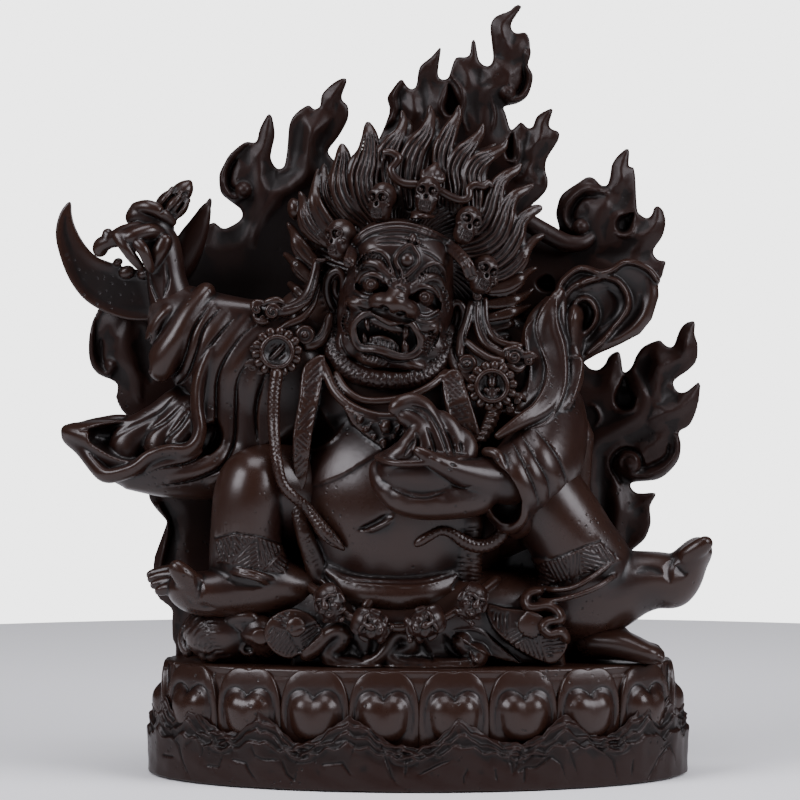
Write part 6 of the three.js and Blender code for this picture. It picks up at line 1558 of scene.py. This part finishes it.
for clay, path in (
    (left_ear, ((318, 260, -12.4, 1.1), (314, 280, -12.8, 1.25), (308, 296, -13.4, 1.5), (298, 306, -14.4, 1.5),
        (285, 311, -15, 1.4), (272, 312, -15.2, 1.3))),
    (left_ear, ((318, 284, -12, 0.7), (313, 304, -13.2, 0.9), (302, 318, -14.6, 0.95), (289, 324, -15, 0.9),
        (279, 330, -15, 0.7))),
    (left_ear, ((330, 316, -11.6, 0.9), (327, 328, -12.8, 1.2), (321, 339, -14, 1.4), (313, 345, -15, 1.2),
        (306, 346, -15.2, 0.9))),
    (right_ear, ((450, 344, -11.6, 1), (451, 354, -13.8, 1.4), (456, 364, -15.6, 1.6), (464, 375, -17.6, 1.4),
        (474, 382, -18.6, 1))),
    (right_ear, ((470, 303, -10.2, 0.9), (467, 322, -11.8, 1.1), (461, 338, -13.6, 1.1), (460, 354, -16.4, 0.9))),
    (right_ear, ((477, 300, -9.8, 0.95), (477, 322, -11.4, 1.1), (484, 342, -13.4, 1.2), (498, 352, -14.8, 1.1),
        (506, 357, -15.6, 0.9))),
    (right_ear, ((485, 300, -9.4, 0.8), (486, 320, -10.6, 1), (493, 336, -12.4, 1.1), (506, 344, -13.4, 1),
        (520, 346, -13.4, 0.8))),
    (right_ear, ((466, 342, -14.4, 0.9), (478, 352, -16, 1), (492, 360, -17.2, 1), (502, 361, -17.4, 0.8))),
):
    clay.limb(drawn(*path), 0.45, 6)
for clay, centre, size, back, start, turns in (
    (left_ear, (272.5, 312), 1.9, -16.6, 0.4, 1.5), (left_ear, (257, 309.5), 1.3, -15.6, 0.9, 1.2),
    (left_ear, (262, 318), 0.9, -15.4, 3.4, 1), (left_ear, (246, 356), 1.2, -16, 0.6, 1.2),
    (left_ear, (253, 367), 1.1, -16.4, 1.6, 1.2), (left_ear, (322, 255), 2, -13.6, 1, 1.5),
    (left_ear, (313, 247), 1.3, -12.8, 2, 1.1), (left_ear, (323, 246), 1.1, -12.8, 0.4, 1.1),
    (right_ear, (514, 357), 1.7, -16.6, 2.6, 1.5), (right_ear, (529, 361), 1.3, -15.6, 0.6, 1.3),
    (right_ear, (518, 401), 1.1, -19.8, 0.6, 1.2), (right_ear, (511, 409), 1.1, -20, 1.4, 1.2),
    (right_ear, (501.5, 367), 1, -19.4, 0, 1), (right_ear, (486, 288), 1.5, -12.4, 0.6, 1.3),
    (right_ear, (478, 296), 1.1, -12.2, 2.2, 1.1), (right_ear, (494, 282), 1, -11.8, 1, 1.1),
):
    clay.egg(*centre, back + 1.6, (size * 1.05, size * 1.05, 1.8), 0, 0.5)
    clay.limb(scroll(centre, size, back, start, turns, 0.32 + 0.1 * size), 0.15, 3)
for clay, path in (
    (left_ear, ((284, 303, -15.6, 0.5), (277, 300, -16, 0.8), (268, 301.5, -15.8, 0.7), (264, 305, -15.2, 0.5))),
    (left_ear, ((262, 303, -15, 0.8), (255, 303, -15.2, 0.8), (252, 307, -15, 0.6))),
    (left_ear, ((266, 322, -15.4, 0.9), (258, 321, -15, 0.7), (254, 315, -14.8, 0.5))),
    (left_ear, ((258, 350, -15.8, 1.1), (247, 349, -15.8, 0.9), (241, 356, -15.4, 0.6))),
    (left_ear, ((256, 362, -16, 1.1), (244, 364, -15.8, 1), (235, 368, -15, 0.4))),
    (left_ear, ((262, 372, -16, 1), (250, 373, -15.6, 0.8), (240, 372, -15, 0.4))),
    (right_ear, ((506, 350, -15.6, 0.8), (516, 348, -16, 0.8), (522, 352, -15.8, 0.6))),
    (right_ear, ((522, 356, -15.4, 0.8), (530, 353.5, -15.6, 0.7), (537, 357, -15, 0.4))),
    (right_ear, ((508, 366, -16, 1), (518, 370, -15.8, 0.9), (524, 366, -15.4, 0.5))),
    (right_ear, ((508, 396, -19.2, 0.9), (520, 396, -19, 0.8), (525, 401, -18.6, 0.5))),
    (right_ear, ((504, 410, -19.2, 0.9), (516, 414, -19, 0.9), (529, 413, -18, 0.35))),
    (right_ear, ((474, 282, -11.6, 1), (488, 277, -11.4, 0.8), (497, 279, -10.8, 0.4))),
):
    clay.limb(drawn(*path), 0.3, 5)
left_ear.lines((
    ((318, 264), (314, 282), (309, 297), (298, 305), (284, 309)),
    ((322, 270), (317, 290), (310, 304), (296, 314), (284, 318)), ((326, 318), (322, 334), (312, 341)),
), 0.4, -0.4)
right_ear.lines((
    ((472, 308), (466, 330), (463, 346)), ((479, 304), (480, 324), (488, 342), (502, 350)),
    ((489, 304), (490, 322), (497, 336), (512, 342)), ((453, 344), (456, 358), (464, 368)),
), 0.4, -0.4)
left_ear.carve(-10, -7)
right_ear.carve(-9, -6)
braid = drawn((494, 411, -19.4, 1.6), (489, 424, -20.2, 1.6), (483, 436, -21.2, 1.4), (478, 446, -22.2, 1),
    (474, 454, -22.8, 0.7))
right_ear.limb(braid, 0.4, 6)
for a, b, y, r in smooth_path(braid, 4)[::2]:
    for side in (-1, 1):
        right_ear.limb([(a + side * r * 0.95, b - 0.35, y - 0.5, 0.5),
            (a + side * r * 0.4, b + 0.5, y - r * 0.9, 0.55), (a - side * r * 0.1, b + 0.15, y - r, 0.45)], 0.12, 3)
wreath_piece = Clay((-1.5, -1.8, -1.5), (1.5, 1.6, 1.5), step=0.16)
dish = -0.9 + 0.5 * (wreath_piece.face.u[:, None] ** 2 + 0.5 * wreath_piece.face.v[None, :] ** 2)
wreath_piece.sheet([(-1, -1.1), (-1.2, 0.2), (-0.8, 1), (0, 1.25), (0.8, 1), (1.2, 0.2), (1, -1.1)], 1.3, dish, 0.3, 0)
spots, leans = [], []
for centre, back in (((277, 352), -17.8), ((492, 386), -20.8)):
    a, b = drawn(centre)[0]
    for t in (np.arange(WREATH_PETALS) + 0.3) / WREATH_PETALS * 2 * math.pi:
        spots.append((a + 5.1 * math.sin(t), back, b + 5.1 * math.cos(t)))
        leans.append(t)
wreaths = repeated("earring_wreaths", wreath_piece.as_model("model_wreath", 0.5), in_depth(np.array(spots)), lean=leans)
cast("earring_wreaths", wreaths, most=10000, rounds=4)
left_ear.cast("left_earring", most=25000)
right_ear.cast("right_earring", most=25000)

# Two scaled snakes hang on the figure: one from the left earring down past the belly, one out of the bent sleeve
# and across it. Their scales are cut as crossing lines.
snake = Clay((-40, -30, 51), (26, -12, 102), step=0.27)
SNAKES = (
    ((277, 374, -18.6, 1.6), (274, 396, -19.4, 1.6), (273.5, 420, -20, 1.5), (275, 444, -22, 1.45),
        (277.5, 462, -24.6, 1.4), (282, 482, -25, 1.4), (293, 496, -24.4, 1.4), (306, 507, -22.2, 1.4),
        (315, 519, -22.8, 1.5), (323, 530, -23.4, 1.9), (332, 539, -23.6, 1.6), (340, 546, -23.4, 0.9),
        (344, 549.5, -23.2, 0.35)),
    ((497, 508, -20.6, 1.9), (503, 522, -21.6, 1.9), (501, 534, -22.4, 1.8), (491, 543, -23, 1.8),
        (478, 546, -23.8, 1.8), (465, 542, -24.4, 1.7), (453, 534, -24.8, 1.4), (441, 531, -25.2, 1.15),
        (430, 536, -25.4, 1.15), (421, 541.5, -25.6, 1.1), (416.5, 544.5, -25.6, 0.7)),
)
scales = []
for path in SNAKES:
    body = drawn(*path)
    snake.limb(body, 0.2, 6)
    line = np.array(smooth_path(body, 10))
    run = np.concatenate([[0], np.cumsum(np.hypot(*np.diff(line[:, :2], axis=0).T))])
    stop = run[-1] - 4.5
    for s in np.arange(0.6, stop, 1.15):
        p = np.array([np.interp(s, run, line[:, i]) for i in range(4)])
        q = np.array([np.interp(min(s + 1.3, run[-1]), run, line[:, i]) for i in range(4)])
        way = (q[:2] - p[:2]) / max(np.hypot(*(q[:2] - p[:2])), 1e-6)
        aside = np.array([-way[1], way[0]])
        scales += [[p[:2] - aside * p[3], p[:2] + way * 1.2, q[:2] + aside * q[3] * 0.9],
            [p[:2] + aside * p[3], p[:2] + way * 1.2, q[:2] - aside * q[3] * 0.9]]
snake.face.press(scales, 0.27, -0.2, (0.9, 0.9), 0)
snake.lines((((326, 527), (334, 536), (341, 545)), ((319, 531), (328, 541), (337, 547))), 0.3, -0.3)
snake.carve(-18, -15)
for u, v, y in ((331.5, 533.5, -24.9), (425, 537, -26.4)):
    snake.egg(u, v, y, (0.45, 0.45, 0.4), 0, 0.1)
snake.cast("snakes", most=22000)

# A garland of four small heads hangs below the belly on a short cord. One head is modelled and set four times,
# each lying its own way, eyes shut, its curly hair below.
GOLDEN_TURN = 2.399
bead_head = Clay((-4.8, -5.4, -5.8), (4.8, 4.6, 5.2), step=0.2)
bead_head.lump((0, 0.8, 0), (3.4, 3.9, 3.5), 0, 0)
bead_head.lump((0, -1.8, -0.8), (2.5, 2.6, 2.7), 0, 1.2)
bead_head.limb([(0, 1.5, -3.2, 0.5), (0, 0.2, -3.9, 0.55), (0, -0.7, -4.2, 0.75)], 0.5, 4)
for side in (-1, 1):
    bead_head.lump((side * 1.4, 0.7, -3.5), (1, 0.65, 0.9), 0, 0.3, cut=True)
    bead_head.lump((side * 1.4, 0.55, -2.9), (0.8, 0.5, 0.75), 0, 0.2)
    bead_head.limb([(side * 0.5, 1.3, -3.5, 0.3), (side * 1.5, 1.65, -3.4, 0.35), (side * 2.6, 1.2, -2.5, 0.3)], 0.3, 4)
    bead_head.lump((side * 1.7, -1.2, -2.6), (0.9, 0.8, 0.9), 0, 0.5)
    bead_head.limb([(side * 3.3, 1, -0.8, 0.5, 0.7), (side * 3.5, -0.6, -0.8, 0.5, 0.6)], 0.3, 3)
bead_head.limb([(-1.1, -2.2, -3.1, 0.32), (0, -1.95, -3.7, 0.36), (1.1, -2.2, -3.1, 0.32)], 0.2, 4)
bead_head.limb([(-0.9, -2.8, -3, 0.34), (0, -2.95, -3.5, 0.4), (0.9, -2.8, -3, 0.34)], 0.2, 4)
for k in range(26):
    turn = GOLDEN_TURN * k
    low = -2.2 - 2.2 * ((k * GOLDEN) % 1)
    reach = 2.9 * math.sqrt(max(0.05, 1 - ((low + 0.6) / 4.6) ** 2))
    a, y = reach * math.cos(turn), 1.0 * math.sin(turn) + (-0.2 if low > -3.6 else -1.2)
    if y > -2.4 or low < -3.7:
        bead_head.limb([(a - 0.35, low, y - 0.6, 0.42), (a + 0.2, low - 0.45, y - 0.9, 0.46),
            (a + 0.5, low - 0.1, y - 0.5, 0.38)], 0.15, 3)
for k in range(9):
    a = -2.9 + 0.72 * k
    bead_head.limb([(a, 2.2 - 0.1 * abs(a), -2.6 + 0.25 * abs(a), 0.34),
        (a * 0.9, 3.6 - 0.12 * abs(a), -1.6 + 0.2 * abs(a), 0.36), (a * 0.6, 4.6 - 0.1 * abs(a), 0.4, 0.3)], 0.2, 4)
HEADS_AT = (
    (331, 603, -25.6, -0.35, -0.36, 0.02), (371, 625, -27.2, -0.10, -1.15, 0.06),
    (425, 623, -27.4, 0.12, 1.15, 0.10), (471, 602, -25.8, 0.30, 0.45, 0.02),
)
cast("garland_heads", repeated("garland_heads", bead_head.as_model("model_head", 0.45), **hung_at(HEADS_AT)),
    most=20000, rounds=4)
cords = Clay((-30, -31, 33), (22, -14, 50), step=0.26)
cords.limbs((
    ((308, 586, -18, 1.3), (318, 592, -21, 1.2), (326, 596, -23, 1.2)),
    ((342, 612, -25.6, 1), (350, 617, -26.6, 0.95), (357, 620, -27, 1)),
    ((388, 626, -27.2, 0.95), (398, 628.5, -27.6, 0.9), (408, 627, -27.4, 0.95)),
    ((440, 620, -27, 0.95), (450, 615, -26.6, 0.9), (458, 610, -25.8, 1)),
    ((478, 594, -23.4, 1.1), (486, 588, -21, 1.2), (496, 580, -18, 1.3)),
    ((366, 606, -23.6, 1.2), (374, 596, -22, 1.5), (378, 588, -20, 1.8)),
), 0.3, 5)
cords.cast("garland_cord", most=4000)

# The statue stands on a plain pale round table top, in soft light from both sides and above.
TABLE_RADIUS = 0.46
table_top = bpy.data.meshes.new("table_top")
rim = [(TABLE_RADIUS * math.cos(t), TABLE_RADIUS * math.sin(t), 0) for t in np.linspace(0, 2 * math.pi, 97)[:-1]]
table_top.from_pydata(rim, [], [range(len(rim))])
table_top.materials.append(bpy.data.materials.new("pale_table"))
table_top.materials[0].use_nodes = True
pale = table_top.materials[0].node_tree.nodes["Principled BSDF"].inputs
pale["Base Color"].default_value = (0.94, 0.94, 0.945, 1)
pale["Roughness"].default_value = 0.7
table = bpy.data.objects.new("table_top", table_top)
bpy.context.collection.objects.link(table)

room = bpy.data.worlds.new("studio")
room.use_nodes = True
room.node_tree.nodes.clear()
wall = Finish(room.node_tree)
soft = wall.node("ShaderNodeBackground", values={"Color": (0.90, 0.94, 1, 1), "Strength": 0.05})
seen_white = wall.node("ShaderNodeBackground", values={"Color": (1, 1, 1, 1), "Strength": 3.6})
looked_at = wall.node("ShaderNodeLightPath")
wall.node("ShaderNodeOutputWorld",
    values={"Surface": wall.node("ShaderNodeMixShader", values={0: looked_at, 1: soft, 2: seen_white})})
bpy.context.scene.world = room
EYE = (-0.0045, -0.650, 0.09275)
for name, place, aim, size, power in (
    ("left_softbox", (-0.60, -0.45, 0.55), (0, 0, 0.1), 0.46, 7.8),
    ("right_softbox", (0.62, -0.36, 0.46), (0, 0, 0.1), 0.46, 6.9),
    ("top_softbox", (0, -0.12, 0.80), (0, 0, 0.1), 0.40, 3.2),
    ("rear_softbox", (0.1, 0.8, 0.5), (0, 0, 0.1), 0.6, 1),
):
    lamp = bpy.data.lights.new(name, "AREA")
    lamp.shape, lamp.size, lamp.energy = "SQUARE", size, power
    lamp.color = (0.94, 0.93, 1)
    holder = bpy.data.objects.new(name, lamp)
    holder.location = place
    holder.rotation_euler = (Vector(aim) - Vector(place)).to_track_quat("-Z", "Y").to_euler()
    bpy.context.collection.objects.link(holder)
lens = bpy.data.cameras.new("camera")
lens.lens, lens.sensor_width = 117, 36.0
camera = bpy.data.objects.new("camera", lens)
camera.location = EYE
camera.rotation_euler = (math.pi / 2, 0, 0)
bpy.context.collection.objects.link(camera)
bpy.context.scene.camera = camera
